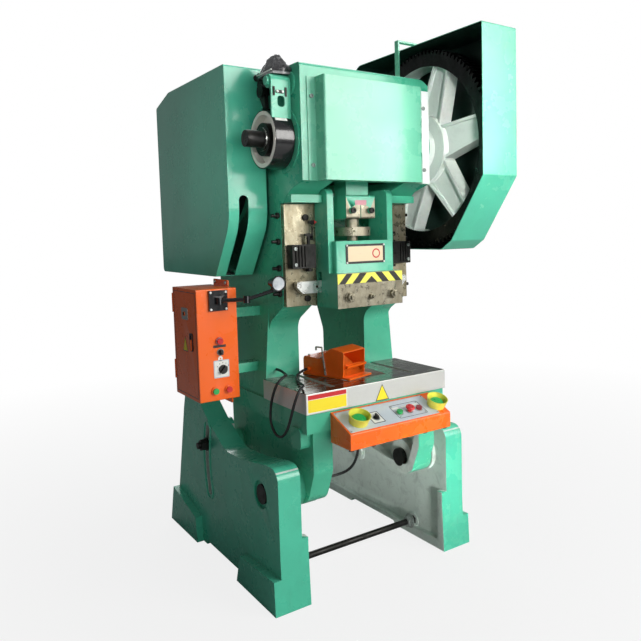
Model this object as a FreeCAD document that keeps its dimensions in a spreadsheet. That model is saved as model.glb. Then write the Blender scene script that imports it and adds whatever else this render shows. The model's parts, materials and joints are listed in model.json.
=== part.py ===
import FreeCAD, Part
import math
import os

import Sketcher
from FreeCAD import Placement, Rotation, Vector

# Inclinable crank press.  Millimetres and degrees; X to the right, Y to the back, Z up.
# The origin is on the floor, midway between the four foundation bolt holes.

# ---------------------------------------------------------------- driving dimensions
SIZES = {
    # machine axes
    "pivot_y": -350, "pivot_z": 422, "crank_y": -350, "crank_z": 1810, "throw": 40,
    "gap": 0.3, "fit": 0.05,
    # legs
    "leg_outer": 468, "leg_inner": 372, "leg_wall": 34, "leg_front": 505, "leg_nose": 560,
    "leg_nose_round": 50, "leg_dip_y": -25, "leg_dip_z": 513, "leg_ear_y": 330,
    "leg_ear_top": 735, "leg_ear_width": 100, "leg_toe": 515, "leg_heel": 640,
    "leg_foot_inner": 345, "leg_foot_step": 270, "floor_flange": 40, "arch_rise": 18,
    "pad_outer": 500, "front_pad_end": -160, "front_pad_top": 122, "rear_pad_start": 283,
    "foundation_half": 400, "foundation_hole": 16, "leg_boss_face": 352, "leg_boss": 85,
    "pivot_bore": 40, "pivot_recess": 57, "pivot_recess_depth": 12,
    "slot_radius": 545, "slot_reach": 15.5, "slot_half": 17, "slot_rim": 18,
    "clamp_angle": 7.5, "clamp_shank": 15, "clamp_hub": 45,
    "rod_front_y": -270, "rod_front_z": 62, "rod_rear_y": 560, "rod_rear_z": 62, "tie_rod": 14,
    # cast body
    "head_half": 312, "bevel_run": 40, "bevel_drop": 26,
    "head_front": -490, "head_top": 2088, "head_rear": 330,
    "upright_inner": 174, "upright_foot": 336, "upright_front": -168, "upright_rear": 200,
    "taper_top": 1140, "table_top": 755, "table_under": 676, "table_front": -520,
    "table_half": 345, "gib_seat": -300, "gib_bottom": 1150, "gib_top": 1566,
    "throat": 1070, "cheek_wall": 76, "cavity_low": 1655, "cavity_high": 2026,
    "channel_rear": -180, "window_top": 1500, "window_round": 60,
    "plate_inner": 220, "plate_outer": 308, "plate_front": -500, "plate_bottom": 362,
    "plate_rear": 250, "plate_web": 38, "hub": 80, "hub_face": 350,
    "lug_outer": 352, "lug_low": 606, "lug_high": 690, "lug_front": -482, "lug_rear": -400,
    "drop_half": 105, "drop_front": -430, "drop_rear": -270,
    # bolster
    "bolster_half": 350, "bolster_front": -530, "bolster_rear": -170, "bolster_thick": 82,
    "tee_neck": 11, "tee_foot": 19, "tee_depth": 34, "tee_foot_height": 15, "tee_pitch": 200,
    # front cover
    "cover_half": 249, "cover_front": -557, "cover_low": 1647, "cover_high": 2037,
    "cover_sheet": 4, "cover_bevel": 34, "cover_left": 285, "cover_right": 312,
    # guideways and knock-out stops
    "gib_inner": 172, "gib_outer": 309, "gib_thick": 24, "land_depth": 20, "land_half": 9,
    "ram_half": 163.5, "stop_low": 1306, "stop_high": 1402, "stop_inner": 191,
    "stop_outer": 299, "stop_front": -368,
    # slide
    "ram_bottom": 1143, "ram_block_top": 1283, "ram_front": -480, "ram_rear": -250,
    "box_half": 145, "box_front": -446, "box_top": 1412, "arm_front": -418, "arm_top": 1624,
    "arm_thick": 29.5, "shank_bore": 25, "shank_depth": 60, "seat_half": 48,
    "seat_floor": 1326, "bar_slot_low": 1203, "bar_slot_high": 1286,
    # connecting rod and ball screw
    "rod_eye": 105, "rod_bore": 60.3, "rod_half": 60, "rod_neck": 55, "neck_depth": 90,
    "block_half": 72, "block_front": -418, "block_low": 1503, "block_high": 1599,
    "ball": 38, "ball_z": 1378, "screw": 30, "nut": 77, "nut_low": 1432, "nut_high": 1468,
    # crankshaft
    "journal": 55, "crank_pin": 60, "web": 110, "web_inner": 62, "web_outer": 100,
    "bush_wall": 15, "drum_seat": 45, "stub": 32, "stub_end": 478, "gear_seat": 50,
    # brake
    "drum": 107, "drum_inner": 322, "drum_outer": 405, "band_gap": 0.5, "band": 5,
    "band_width": 78, "anchor_y": -414, "anchor_z": 2019, "anchor": 17, "anchor_disc": 44,
    # gear and pinion
    "tooth_module": 8, "gear_teeth": 107, "pinion_teeth": 17, "gear_left": 390,
    "gear_face": 88, "rim_inner": 366, "gear_hub": 155, "gear_nose": 73, "backlash": 0.6,
    # drive line
    "drive_y": 145, "drive_z": 1775, "drive_shaft": 30, "flywheel": 310, "flywheel_width": 120,
    "flywheel_inner": 350, "motor_y": 478, "motor_z": 1380, "pulley": 60, "motor": 105,
    "motor_left": 300, "motor_right": 60, "mount_y": 330, "mount_thick": 16, "belt": 10,
    # guards
    "guard_sheet": 3, "gear_guard_inner": 331, "gear_guard_outer": 524, "guard_top": 2260,
    "wheel_guard_inner": 335, "wheel_guard_outer": 502, "wheel_guard_front": -234,
    "wheel_guard_rear": 575, "wheel_guard_low": 1275, "wheel_guard_top": 2107,
    "guard_lug": 40, "strip_x": 292, "strip_y": -316, "strip_top": 2292,
    # control box
    "box_outer": 641, "box_inner": 475, "box_near": -209, "box_far": 56, "box_low": 789,
    "box_high": 1236, "box_sheet": 2, "door_thick": 3, "hinge": 4, "button_y": -209,
    # console
    "desk_left": -238, "desk_right": 262, "desk_low": 627, "desk_edge": 689, "desk_rise": 746,
    "desk_front": -661, "stem_gap": 0.3, "palm": 30, "palm_travel": 6,
    # pedal
    "pedal_turn": 17, "pedal_x": -58, "pedal_y": -290, "pedal_long": 270, "pedal_wide": 150,
    "pedal_cord": 5.5, "desk_cord": 5.5,
}


class Size:
    """A number that remembers the expression it comes from."""

    def __init__(self, value, text):
        self.value = float(value)
        self.text = text

    def join(self, sign, other, value, swap=False):
        text = other.text if isinstance(other, Size) else repr(other)
        left, right = (text, self.text) if swap else (self.text, text)
        return Size(value, f"({left} {sign} {right})")

    def __add__(self, other):
        return self.join("+", other, self.value + float(other))

    def __radd__(self, other):
        return self.join("+", other, float(other) + self.value, True)

    def __sub__(self, other):
        return self.join("-", other, self.value - float(other))

    def __rsub__(self, other):
        return self.join("-", other, float(other) - self.value, True)

    def __mul__(self, other):
        return self.join("*", other, self.value * float(other))

    def __rmul__(self, other):
        return self.join("*", other, float(other) * self.value, True)

    def __truediv__(self, other):
        return self.join("/", other, self.value / float(other))

    def __neg__(self):
        return Size(-self.value, f"(0 - {self.text})")

    def __float__(self):
        return self.value

    def __lt__(self, other):
        return self.value < float(other)


class Dimensions:
    """The driving dimensions by name."""


def read_sizes(doc):
    sheet = doc.addObject("Spreadsheet::Sheet", "sizes")
    named = Dimensions()
    for row, (alias, value) in enumerate(SIZES.items(), 1):
        sheet.set(f"A{row}", alias)
        sheet.set(f"B{row}", str(value))
        sheet.setAlias(f"B{row}", alias)
        setattr(named, alias, Size(value, f"sizes.{alias}"))
    return named


doc = FreeCAD.newDocument("stamping_press")
d = read_sizes(doc)
nodes = []
cuts = []


def cosd(size):
    return Size(math.cos(math.radians(size.value)), f"cos({size.text})")


def sind(size):
    return Size(math.sin(math.radians(size.value)), f"sin({size.text})")


# ---------------------------------------------------------------- ways of making pieces
def bind(item, name, size):
    """Sets a property and ties it to its expression."""
    if "." not in name:
        setattr(item, name, float(size))
    if isinstance(size, Size):
        item.setExpression(name, size.text)


def node(item):
    nodes.append(item)
    return item


def make_body(label):
    return node(doc.addObject("PartDesign::Body", label))


def place(item, x=0.0, y=0.0, z=0.0, turn=None):
    item.Placement = Placement(Vector(float(x), float(y), float(z)), turn or Rotation())
    for axis, size in zip("xyz", (x, y, z)):
        bind(item, f"Placement.Base.{axis}", size)
    return item


def origin_plane(body, role):
    return next(f for f in body.Origin.OriginFeatures if f.Role == role)


def sketch_on(body, plane, offset=0.0, across=0.0, along=0.0):
    """A sketch on the body's own plane; its origin can be moved within the plane."""
    sense = -1 if plane == "XZ" else 1
    sketch = body.newObject("Sketcher::SketchObject", f"{body.Label}_sketch")
    sketch.AttachmentSupport = [(origin_plane(body, f"{plane}_Plane"), "")]
    sketch.MapMode = "FlatFace"
    shift = (across, along, sense * offset)
    sketch.AttachmentOffset = Placement(Vector(*[float(size) for size in shift]), Rotation())
    for axis, size in zip("xyz", shift):
        bind(sketch, f"AttachmentOffset.Base.{axis}", size)
    sketch.Visibility = False
    return sketch


def dimension(sketch, kind, *parts):
    *where, size = parts
    number = sketch.addConstraint(Sketcher.Constraint(kind, *where, float(size)))
    if isinstance(size, Size):
        sketch.setExpression(f"Constraints[{number}]", size.text)


def locate(sketch, geometry, position, x, y):
    dimension(sketch, "DistanceX", -1, 1, geometry, position, x)
    dimension(sketch, "DistanceY", -1, 1, geometry, position, y)


def corner_arc(before, corner, after, radius):
    """The arc that rounds a corner: where it starts and ends, and its circle's middle."""
    back = (before - corner).normalize()
    ahead = (after - corner).normalize()
    half = back.getAngle(ahead) / 2
    start = corner + back * (radius / math.tan(half))
    end = corner + ahead * (radius / math.tan(half))
    middle = corner + (back + ahead).normalize() * (radius / math.sin(half))
    return start, end, middle


def draw_outline(sketch, points):
    """Closed outline of straight runs; a third number in a point rounds its corner."""
    count = len(points)
    corners = [Vector(float(p[0]), float(p[1]), 0) for p in points]
    rounds = [p[2] if len(p) > 2 else None for p in points]
    arcs = {}
    for i in range(count):
        if rounds[i] is not None:
            arcs[i] = corner_arc(corners[i - 1], corners[i], corners[(i + 1) % count], float(rounds[i]))
    lines = []
    for i in range(count):
        after = (i + 1) % count
        start = arcs[i][1] if i in arcs else corners[i]
        end = arcs[after][0] if after in arcs else corners[after]
        lines.append(sketch.addGeometry(Part.LineSegment(start, end), False))
    for i in range(count):
        before, line = lines[i - 1], lines[i]
        if i not in arcs:
            sketch.addConstraint(Sketcher.Constraint("Coincident", before, 2, line, 1))
            locate(sketch, line, 1, points[i][0], points[i][1])
            continue
        start, end, middle = arcs[i]
        first, last = start - middle, end - middle
        ccw = first.cross(last).z > 0
        if not ccw:
            first, last = last, first
        circle = Part.Circle(middle, Vector(0, 0, 1), float(rounds[i]))
        sweep = Part.ArcOfCircle(circle, math.atan2(first.y, first.x), math.atan2(last.y, last.x))
        arc = sketch.addGeometry(sweep, False)
        point = sketch.addGeometry(Part.Point(corners[i]), True)
        locate(sketch, point, 1, points[i][0], points[i][1])
        sketch.addConstraint(Sketcher.Constraint("PointOnObject", point, 1, before))
        sketch.addConstraint(Sketcher.Constraint("PointOnObject", point, 1, line))
        sketch.addConstraint(Sketcher.Constraint("Tangent", before, 2, arc, 1 if ccw else 2))
        sketch.addConstraint(Sketcher.Constraint("Tangent", line, 1, arc, 2 if ccw else 1))
        dimension(sketch, "Radius", arc, rounds[i])


def draw_circle(sketch, x, y, radius):
    middle = Vector(float(x), float(y), 0)
    circle = sketch.addGeometry(Part.Circle(middle, Vector(0, 0, 1), float(radius)), False)
    locate(sketch, circle, 3, x, y)
    dimension(sketch, "Radius", circle, radius)


def draw(sketch, shapes):
    for shape in shapes:
        if isinstance(shape, tuple):
            draw_circle(sketch, *shape)
        else:
            draw_outline(sketch, shape)


def rect(x0, x1, y0, y1, *corner):
    """Four corners of a rectangle; an extra number rounds them all."""
    return [(x0, y0, *corner), (x1, y0, *corner), (x1, y1, *corner), (x0, y1, *corner)]


def extrude(body, kind, plane, ends, shapes):
    low, high = sorted(ends, key=float)
    sketch = sketch_on(body, plane, high if plane == "XZ" else low)
    draw(sketch, shapes)
    feature = body.newObject(f"PartDesign::{kind}", f"{body.Label}_{kind}")
    feature.Profile = sketch
    bind(feature, "Length", high - low)
    return feature


def pad(body, plane, ends, *shapes):
    """Adds the shapes of a plane between two places along its normal."""
    return extrude(body, "Pad", plane, ends, shapes)


def pocket(body, plane, ends, *shapes):
    """Takes the shapes of a plane away between two places along its normal."""
    feature = extrude(body, "Pocket", plane, ends, shapes)
    feature.Reversed = True
    cuts.append(feature)
    return feature


def revolve(body, plane, shapes, axis, cut=False, angle=360, **shift):
    """Turns shapes round the sketch's own axis; a part turn is half each way."""
    sketch = sketch_on(body, plane, **shift)
    draw(sketch, shapes)
    kind = "Groove" if cut else "Revolution"
    feature = body.newObject(f"PartDesign::{kind}", f"{body.Label}_{kind}")
    feature.Profile = sketch
    feature.ReferenceAxis = (sketch, [axis])
    bind(feature, "Angle", angle)
    feature.Midplane = float(angle) < 360
    if cut:
        cuts.append(feature)
    return feature


def repeat_round(body, feature, axis, count):
    """Repeats a feature evenly round one of the body's own axes."""
    ring = body.newObject("PartDesign::PolarPattern", f"{body.Label}_ring")
    ring.Originals = [feature]
    ring.Axis = (origin_plane(body, f"{axis}_Axis"), [""])
    ring.Angle = 360
    ring.Occurrences = int(float(count))
    if isinstance(count, Size):
        ring.setExpression("Occurrences", count.text)
    body.Tip = ring
    return ring


def hollow(body, wall, is_open):
    """Leaves a wall all round and takes away the faces that are open."""
    doc.recompute()
    base = body.Tip
    faces = [f"Face{i}" for i, face in enumerate(base.Shape.Faces, 1) if is_open(face)]
    feature = body.newObject("PartDesign::Thickness", f"{body.Label}_wall")
    feature.Base = (base, faces)
    feature.Reversed = True
    bind(feature, "Value", wall)
    return feature


def soften(body, radius, is_chosen, kind="Fillet"):
    """Rounds or bevels the chosen edges."""
    doc.recompute()
    base = body.Tip
    edges = [f"Edge{i}" for i, edge in enumerate(base.Shape.Edges, 1) if is_chosen(edge)]
    feature = body.newObject(f"PartDesign::{kind}", f"{body.Label}_{kind}")
    feature.Base = (base, edges)
    bind(feature, "Radius" if kind == "Fillet" else "Size", radius)
    return feature


def lies_at(edge, **where):
    """True for an edge whose middle point is at the given places."""
    middle = edge.valueAt((edge.FirstParameter + edge.LastParameter) / 2)
    return all(abs(getattr(middle, axis) - float(size)) < 0.6 for axis, size in where.items())


TO_LEFT = Rotation(Vector(0, 1, 0), -90)
TO_RIGHT = Rotation(Vector(0, 1, 0), 90)
TO_FRONT = Rotation(Vector(1, 0, 0), 90)
TO_BACK = Rotation(Vector(1, 0, 0), -90)
UPWARD = Rotation()


def rod(name, radius, length, x, y, z, turn=UPWARD):
    item = doc.addObject("Part::Cylinder", name)
    bind(item, "Radius", radius)
    bind(item, "Height", length)
    return place(item, x, y, z, turn)


def hexagon(name, radius, length, x, y, z, turn=UPWARD):
    item = doc.addObject("Part::Prism", name)
    item.Polygon = 6
    bind(item, "Circumradius", radius)
    bind(item, "Height", length)
    return place(item, x, y, z, turn)


def fuse(name, *pieces):
    item = doc.addObject("Part::MultiFuse", name)
    item.Shapes = list(pieces)
    return item


def group(label, pieces):
    item = doc.addObject("Part::Compound", label)
    item.Links = pieces
    return node(item)


# ---------------------------------------------------------------- legs
def make_leg(label, side):
    """Casting that is hollow towards the press, with the pivot boss and the tilt slot."""
    body = make_body(label)
    ear_end = d.leg_ear_y + d.leg_ear_width
    outline = [
        (-d.leg_toe, 0), (-d.leg_front, 210), (-d.leg_front, d.leg_nose, d.leg_nose_round),
        (-411, d.leg_nose - 4, 60), (-198, d.leg_dip_z + 9), (d.leg_dip_y, d.leg_dip_z, 160),
        (150, 597, 90), (271, 680, 120), (d.leg_ear_y, d.leg_ear_top, 20),
        (ear_end, d.leg_ear_top, 20), (474, 609), (581, 209), (d.leg_heel, 0),
        (240, 0), (225, d.arch_rise), (-135, d.arch_rise), (-150, 0),
    ]
    pad(body, "YZ", (side * d.leg_inner, side * d.leg_outer), outline)
    hollow(body, d.leg_wall, lambda face: abs(face.CenterOfMass.x - side * float(d.leg_inner)) < 1)
    # wider foot inside, with the floor flange that the foundation bolts hold
    foot = [
        (-d.leg_toe, 0), (-d.leg_front, 210), (-d.leg_front, d.leg_foot_step),
        (-d.leg_front + d.leg_wall, d.leg_foot_step), (-d.leg_front + d.leg_wall, d.floor_flange, 20),
        (d.leg_heel - 30, d.floor_flange, 10), (d.leg_heel, 0), (240, 0), (225, d.arch_rise),
        (-135, d.arch_rise), (-150, 0),
    ]
    web = d.leg_outer - d.leg_wall
    pad(body, "YZ", (side * d.leg_foot_inner, side * web), foot)
    # raised feet outside
    front_pad = [
        (-d.leg_toe, 0), (-d.leg_toe + 6, d.front_pad_top + 14), (-200, d.front_pad_top),
        (d.front_pad_end, 0),
    ]
    rear_pad = [
        (d.rear_pad_start, 0), (d.rear_pad_start + 12, 118), (588, 182), (d.leg_heel, 0),
    ]
    for foot_pad in (front_pad, rear_pad):
        pad(body, "YZ", (side * web, side * d.pad_outer), foot_pad)
    # pivot boss, diagonal rib down to the heel, slot boss
    pad(body, "YZ", (side * d.leg_boss_face, side * web), (d.pivot_y, d.pivot_z, d.leg_boss))
    rib = [(-300, 392), (-270, 415), (215, 52), (215, 18), (150, 18)]
    pad(body, "YZ", (side * (d.leg_inner + 12), side * web), rib)
    boss_half = d.slot_half + d.slot_rim
    inside, outside = sorted((side * d.leg_boss_face, side * web), key=float)
    boss = rect(inside, outside, d.slot_radius - boss_half, d.slot_radius + boss_half)
    revolve(body, "XY", [boss], "H_Axis", angle=2 * d.slot_reach, offset=d.pivot_z, along=d.pivot_y)
    ends = []
    for sense in (-1, 1):
        y = d.pivot_y + d.slot_radius * cosd(d.slot_reach)
        z = d.pivot_z + sense * d.slot_radius * sind(d.slot_reach)
        ends.append((y, z))
        pad(body, "YZ", (side * d.leg_boss_face, side * web), (y, z, boss_half))
    # through holes
    through = rect(side * (d.leg_boss_face - 20), side * (d.leg_outer + 20),
                   d.slot_radius - d.slot_half, d.slot_radius + d.slot_half)
    revolve(body, "XY", [through], "H_Axis", cut=True, angle=2 * d.slot_reach,
            offset=d.pivot_z, along=d.pivot_y)
    for y, z in ends:
        pocket(body, "YZ", (side * (d.leg_boss_face - 20), side * (d.leg_outer + 20)), (y, z, d.slot_half))
    pocket(body, "YZ", (side * (d.leg_boss_face - 20), side * (d.leg_outer + 20)),
           (d.pivot_y, d.pivot_z, d.pivot_bore))
    pocket(body, "YZ", (side * (d.leg_outer - d.pivot_recess_depth), side * (d.leg_outer + 20)),
           (d.pivot_y, d.pivot_z, d.pivot_recess))
    for sense in (-1, 1):
        hole = (side * d.foundation_half, sense * d.foundation_half, d.foundation_hole)
        pocket(body, "XY", (-5, d.floor_flange + 5), hole)
    for y, z in ((d.rod_front_y, d.rod_front_z), (d.rod_rear_y, d.rod_rear_z)):
        boss_in = side * (d.leg_foot_inner + 20)
        pad(body, "YZ", (boss_in, side * web), (y, z, d.tie_rod + 20))
        pocket(body, "YZ", (side * (d.leg_foot_inner - 5), side * web), (y, z, d.tie_rod + d.fit))
    return body


def bored(piece, radius, length, x, y, z, turn):
    """The piece with a round hole along its axis."""
    cut = doc.addObject("Part::Cut", f"{piece.Name}_bored")
    cut.Base = piece
    cut.Tool = rod(f"{piece.Name}_hole", radius, length, x, y, z, turn)
    return cut


def make_tie_rods():
    """Two rods screwed into bosses inside the legs, with a lock nut against each boss."""
    pieces = []
    web = d.leg_outer - d.leg_wall
    boss_in = d.leg_foot_inner + 20
    for end, (y, z) in enumerate(((d.rod_front_y, d.rod_front_z), (d.rod_rear_y, d.rod_rear_z))):
        pieces.append(rod(f"tie_rod_{end}", d.tie_rod, 2 * web, -web, y, z, TO_RIGHT))
        for side, turn in ((-1, TO_LEFT), (1, TO_RIGHT)):
            name = f"tie_nut_{end}_{'left' if side < 0 else 'right'}"
            start = side * (boss_in - 22)
            nut = hexagon(name, d.tie_rod + 7, 22, start, y, z, turn)
            pieces.append(bored(nut, d.tie_rod, 22, start, y, z, turn))
    group("tie_rods", pieces)


def make_pivot_shafts():
    """Shafts that the cast body tilts on, one in each leg."""
    pieces = []
    for side, turn in ((-1, TO_LEFT), (1, TO_RIGHT)):
        reach = d.leg_outer - d.plate_inner - 4
        name = f"pivot_{'left' if side < 0 else 'right'}"
        pieces.append(rod(name, d.pivot_bore, reach, side * d.plate_inner, d.pivot_y, d.pivot_z, turn))
    group("pivot_shafts", pieces)


def make_clamp_bolts():
    """Bolts that pass through the cast body and the arc slots and hold the tilt."""
    pieces = []
    y = d.pivot_y + d.slot_radius * cosd(d.clamp_angle)
    z = d.pivot_z + d.slot_radius * sind(d.clamp_angle)
    for side, turn in ((-1, TO_LEFT), (1, TO_RIGHT)):
        hand = "left" if side < 0 else "right"
        start = d.plate_inner
        head = hexagon(f"clamp_head_{hand}", 27, 18, side * (start - 18), y, z, turn)
        shank = rod(f"clamp_shank_{hand}", d.clamp_shank, d.leg_outer + 46 - start, side * start, y, z, turn)
        washer = rod(f"clamp_ring_{hand}", 30, 6, side * d.leg_outer, y, z, turn)
        nut = hexagon(f"clamp_nut_out_{hand}", 26, 26, side * (d.leg_outer + 6), y, z, turn)
        pieces.append(fuse(f"clamp_bolt_{hand}", head, shank, washer, nut))
    group("slot_clamp_bolts", pieces)


# ---------------------------------------------------------------- cast body
def make_press_frame():
    """C-shaped casting: head box, two uprights, table and the side plates with the hubs."""
    body = make_body("press_frame")
    profile = [
        (d.head_front, d.head_top, 14), (d.head_front, 1648), (-388, 1617), (-327, 1569),
        (d.gib_seat, 1569), (d.gib_seat, d.gib_bottom), (d.upright_front, d.throat, 70),
        (d.upright_front, d.table_under), (d.upright_rear, d.table_under), (d.upright_rear, 960, 90),
        (d.head_rear, 1230, 90), (d.head_rear, d.head_top, 30),
    ]
    pad(body, "YZ", (-d.head_half, d.head_half), profile)
    window = rect(-d.upright_inner, d.upright_inner, d.table_top, d.window_top)
    window[2] = (*window[2], d.window_round)
    window[3] = (*window[3], d.window_round)
    pocket(body, "XZ", (d.head_front - 20, d.head_rear + 20), window)
    channel = rect(-d.upright_inner, d.upright_inner, d.gib_bottom, d.cavity_low + 20)
    pocket(body, "XZ", (d.head_front - 20, d.channel_rear), channel)
    cavity_half = d.head_half - d.cheek_wall
    cavity = rect(-cavity_half, cavity_half, d.cavity_low, d.cavity_high, 16)
    pocket(body, "XZ", (d.head_front - 20, d.head_rear - 60), cavity)
    # the uprights widen towards the table
    taper_low = d.table_under
    for side in (-1, 1):
        wedge = [
            (side * (d.head_half - 20), d.taper_top), (side * d.head_half, d.taper_top),
            (side * d.upright_foot, 837), (side * d.upright_foot, taper_low),
            (side * (d.head_half - 20), taper_low),
        ]
        pad(body, "XZ", (d.upright_front, d.upright_rear), wedge)
    # table
    table = rect(-d.table_half, d.table_half, d.table_front, d.upright_rear)
    pad(body, "XY", (d.table_under, d.table_top), table)
    # side plates below the table, hollowed inside
    plate = [
        (d.plate_front, d.table_under + 10), (d.plate_front, 505, 60), (-440, d.plate_bottom, 75),
        (-250, d.plate_bottom, 120), (d.plate_rear, 440, 40), (d.plate_rear, d.table_under + 30, 20),
        (d.upright_rear - 10, d.table_under + 10),
    ]
    relief = [
        (-462, d.table_under), (-462, 520, 40), (-415, d.plate_bottom + 38, 45),
        (-250, d.plate_bottom + 38, 100), (120, 452, 20), (120, d.table_under),
    ]
    for side in (-1, 1):
        pad(body, "YZ", (side * d.plate_inner, side * d.plate_outer), plate)
        pocket(body, "YZ", (side * (d.plate_inner - 5), side * (d.plate_outer - d.plate_web)), relief)
        pad(body, "YZ", (side * (d.plate_inner + 20), side * d.hub_face), (d.pivot_y, d.pivot_z, d.hub))
        clamp_y = d.pivot_y + d.slot_radius * cosd(d.clamp_angle)
        clamp_z = d.pivot_z + d.slot_radius * sind(d.clamp_angle)
        pad(body, "YZ", (side * (d.plate_outer - d.plate_web), side * d.hub_face),
            (clamp_y, clamp_z, d.clamp_hub))
        pocket(body, "YZ", (side * (d.plate_inner - 20), side * (d.hub_face + 20)),
               (clamp_y, clamp_z, d.clamp_shank))
    # cross wall with its rib and boss between the plates
    wall = rect(-d.plate_inner - 10, d.plate_inner + 10, 452, d.table_under + 10)
    pad(body, "XZ", (120, 150), wall)
    rib = [(d.drop_rear + 20, d.table_under + 10), (-60, 470), (130, 452), (130, d.table_under + 10)]
    pad(body, "YZ", (-14, 14), rib)
    pad(body, "XZ", (70, 130), (120, 560, 42))
    # lifting lugs beside the table
    for side in (-1, 1):
        lug = rect(d.lug_front, d.lug_rear, d.lug_low, d.lug_high, 22)
        pad(body, "YZ", (side * (d.plate_outer - 8), side * d.lug_outer), lug)
    # crank and drive shaft bearing bosses
    for side in (-1, 1):
        face = d.head_half + (6 if side < 0 else 18)
        pad(body, "YZ", (side * (d.head_half - 10), side * face), (d.crank_y, d.crank_z, 128))
        pad(body, "YZ", (side * (d.head_half - 10), side * (d.head_half + 6)), (d.drive_y, d.drive_z, 78))
    bush_bore = d.journal + d.bush_wall
    reach = d.head_half + 40
    pocket(body, "YZ", (-reach, reach), (d.crank_y, d.crank_z, bush_bore))
    pocket(body, "YZ", (-reach, reach), (d.drive_y, d.drive_z, d.drive_shaft + 22))
    # drop hole through the table
    hole = rect(-d.drop_half, d.drop_half, d.drop_front, d.drop_rear, 20)
    pocket(body, "XY", (d.table_under - 5, d.table_top + 5), hole)
    # pivot bores
    pocket(body, "YZ", (-d.hub_face - 20, d.hub_face + 20), (d.pivot_y, d.pivot_z, d.pivot_bore + d.fit))
    # blocks above the guideways and the bevel on the right corner of the head
    for side in (-1, 1):
        block = rect(side * (d.ram_half + 5), side * (d.head_half - 4), 1569, 1600, 3)
        pad(body, "XZ", (-388, d.gib_seat + 10), block)
    bevel = [
        (d.head_half - d.bevel_run, d.head_top), (d.head_half - d.bevel_run, d.head_top + 5),
        (d.head_half + 20, d.head_top + 5), (d.head_half + 20, d.head_top - d.bevel_drop),
        (d.head_half, d.head_top - d.bevel_drop),
    ]
    pocket(body, "XZ", (d.head_front - 20, d.head_rear + 20), bevel)
    return body


def make_bolster():
    """Plate with crossing tee slots and a drop hole; dies are bolted to it."""
    body = make_body("bolster")
    top = d.table_top + d.bolster_thick
    pad(body, "XY", (d.table_top, top),
        rect(-d.bolster_half, d.bolster_half, d.bolster_front, d.bolster_rear))
    floor, step = top - d.tee_depth, top - d.tee_depth + d.tee_foot_height
    for side in (-1, 1):
        x = side * d.tee_pitch
        tee = [
            (x - d.tee_neck, top + 5), (x - d.tee_neck, step), (x - d.tee_foot, step),
            (x - d.tee_foot, floor), (x + d.tee_foot, floor), (x + d.tee_foot, step),
            (x + d.tee_neck, step), (x + d.tee_neck, top + 5),
        ]
        pocket(body, "XZ", (d.bolster_front + 45, d.bolster_rear + 5), tee)
    hole = rect(-d.drop_half, d.drop_half, d.drop_front, d.drop_rear, 20)
    pocket(body, "XY", (d.table_top - 5, top + 5), hole)
    soften(body, 2, lambda edge: lies_at(edge, z=top) and
           (lies_at(edge, y=d.bolster_front) or lies_at(edge, x=d.bolster_half)
            or lies_at(edge, x=-d.bolster_half)), "Chamfer")
    return body


def make_front_cover():
    """Folded sheet over the crank, with a flange down each side."""
    body = make_body("front_cover")
    bend = 8
    back = d.head_front
    outline = [
        (-d.cover_half, back), (-d.cover_half, d.cover_front, bend),
        (d.cover_half - d.cover_bevel, d.cover_front, bend),
        (d.cover_half, d.cover_front + d.cover_bevel, bend), (d.cover_half, back),
    ]
    pad(body, "XY", (d.cover_low, d.cover_high), outline)
    hollow(body, d.cover_sheet, lambda face: abs(face.CenterOfMass.y - float(back)) < 0.1)
    left = rect(-d.cover_left, -d.cover_half + 1, d.cover_low, d.cover_high)
    right = rect(d.cover_half - 1, d.cover_right, d.cover_low, d.cover_high)
    pad(body, "XZ", (back - d.cover_sheet, back), left, right)
    return body


def make_crank_bushes():
    """Flanged bronze bushes that the crankshaft turns in."""
    pieces = []
    for side, turn in ((-1, TO_LEFT), (1, TO_RIGHT)):
        name = f"bush_{'left' if side < 0 else 'right'}"
        cavity = d.head_half - d.cheek_wall
        face = d.head_half + (6 if side < 0 else 18)
        outer = rod(f"{name}_sleeve", d.journal + d.bush_wall, face - cavity + 3,
                    side * (cavity - 3), d.crank_y, d.crank_z, turn)
        pieces.append(bored(outer, d.journal + d.fit, face - cavity + 3,
                            side * (cavity - 3), d.crank_y, d.crank_z, turn))
    group("crank_bushes", pieces)


def make_gib(label, side):
    """Guide plate whose vee land runs in the groove down the side of the slide."""
    body = make_body(label)
    middle = d.gib_seat - d.gib_thick / 2
    front = d.gib_seat - d.gib_thick
    outline = [
        (side * d.gib_outer, front), (side * d.gib_outer, d.gib_seat),
        (side * d.gib_inner, d.gib_seat), (side * d.gib_inner, middle + d.land_half),
        (side * (d.gib_inner - d.land_depth), middle + 3),
        (side * (d.gib_inner - d.land_depth), middle - 3),
        (side * d.gib_inner, middle - d.land_half), (side * d.gib_inner, front),
    ]
    pad(body, "XY", (d.gib_bottom, d.gib_top), outline)
    return body


def make_gib_screws():
    """Cap screws in the face of each guide plate and adjusting screws in the head's side."""
    pieces = []
    front = d.gib_seat - d.gib_thick
    for side, turn in ((-1, TO_LEFT), (1, TO_RIGHT)):
        hand = "left" if side < 0 else "right"
        for number, z in enumerate((1511, 1180)):
            name = f"gib_screw_{hand}_{number}"
            pieces.append(rod(name, 13, 8, side * 213, front, z, TO_FRONT))
        for number, z in enumerate((1203, 1307, 1415, 1520)):
            name = f"adjuster_{hand}_{number}"
            nut = hexagon(f"{name}_nut", 13, 12, side * d.head_half, -285, z, turn)
            shank = rod(f"{name}_shank", 7, 34, side * d.head_half, -285, z, turn)
            pieces.append(fuse(name, nut, shank))
    group("gib_screws", pieces)


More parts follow.
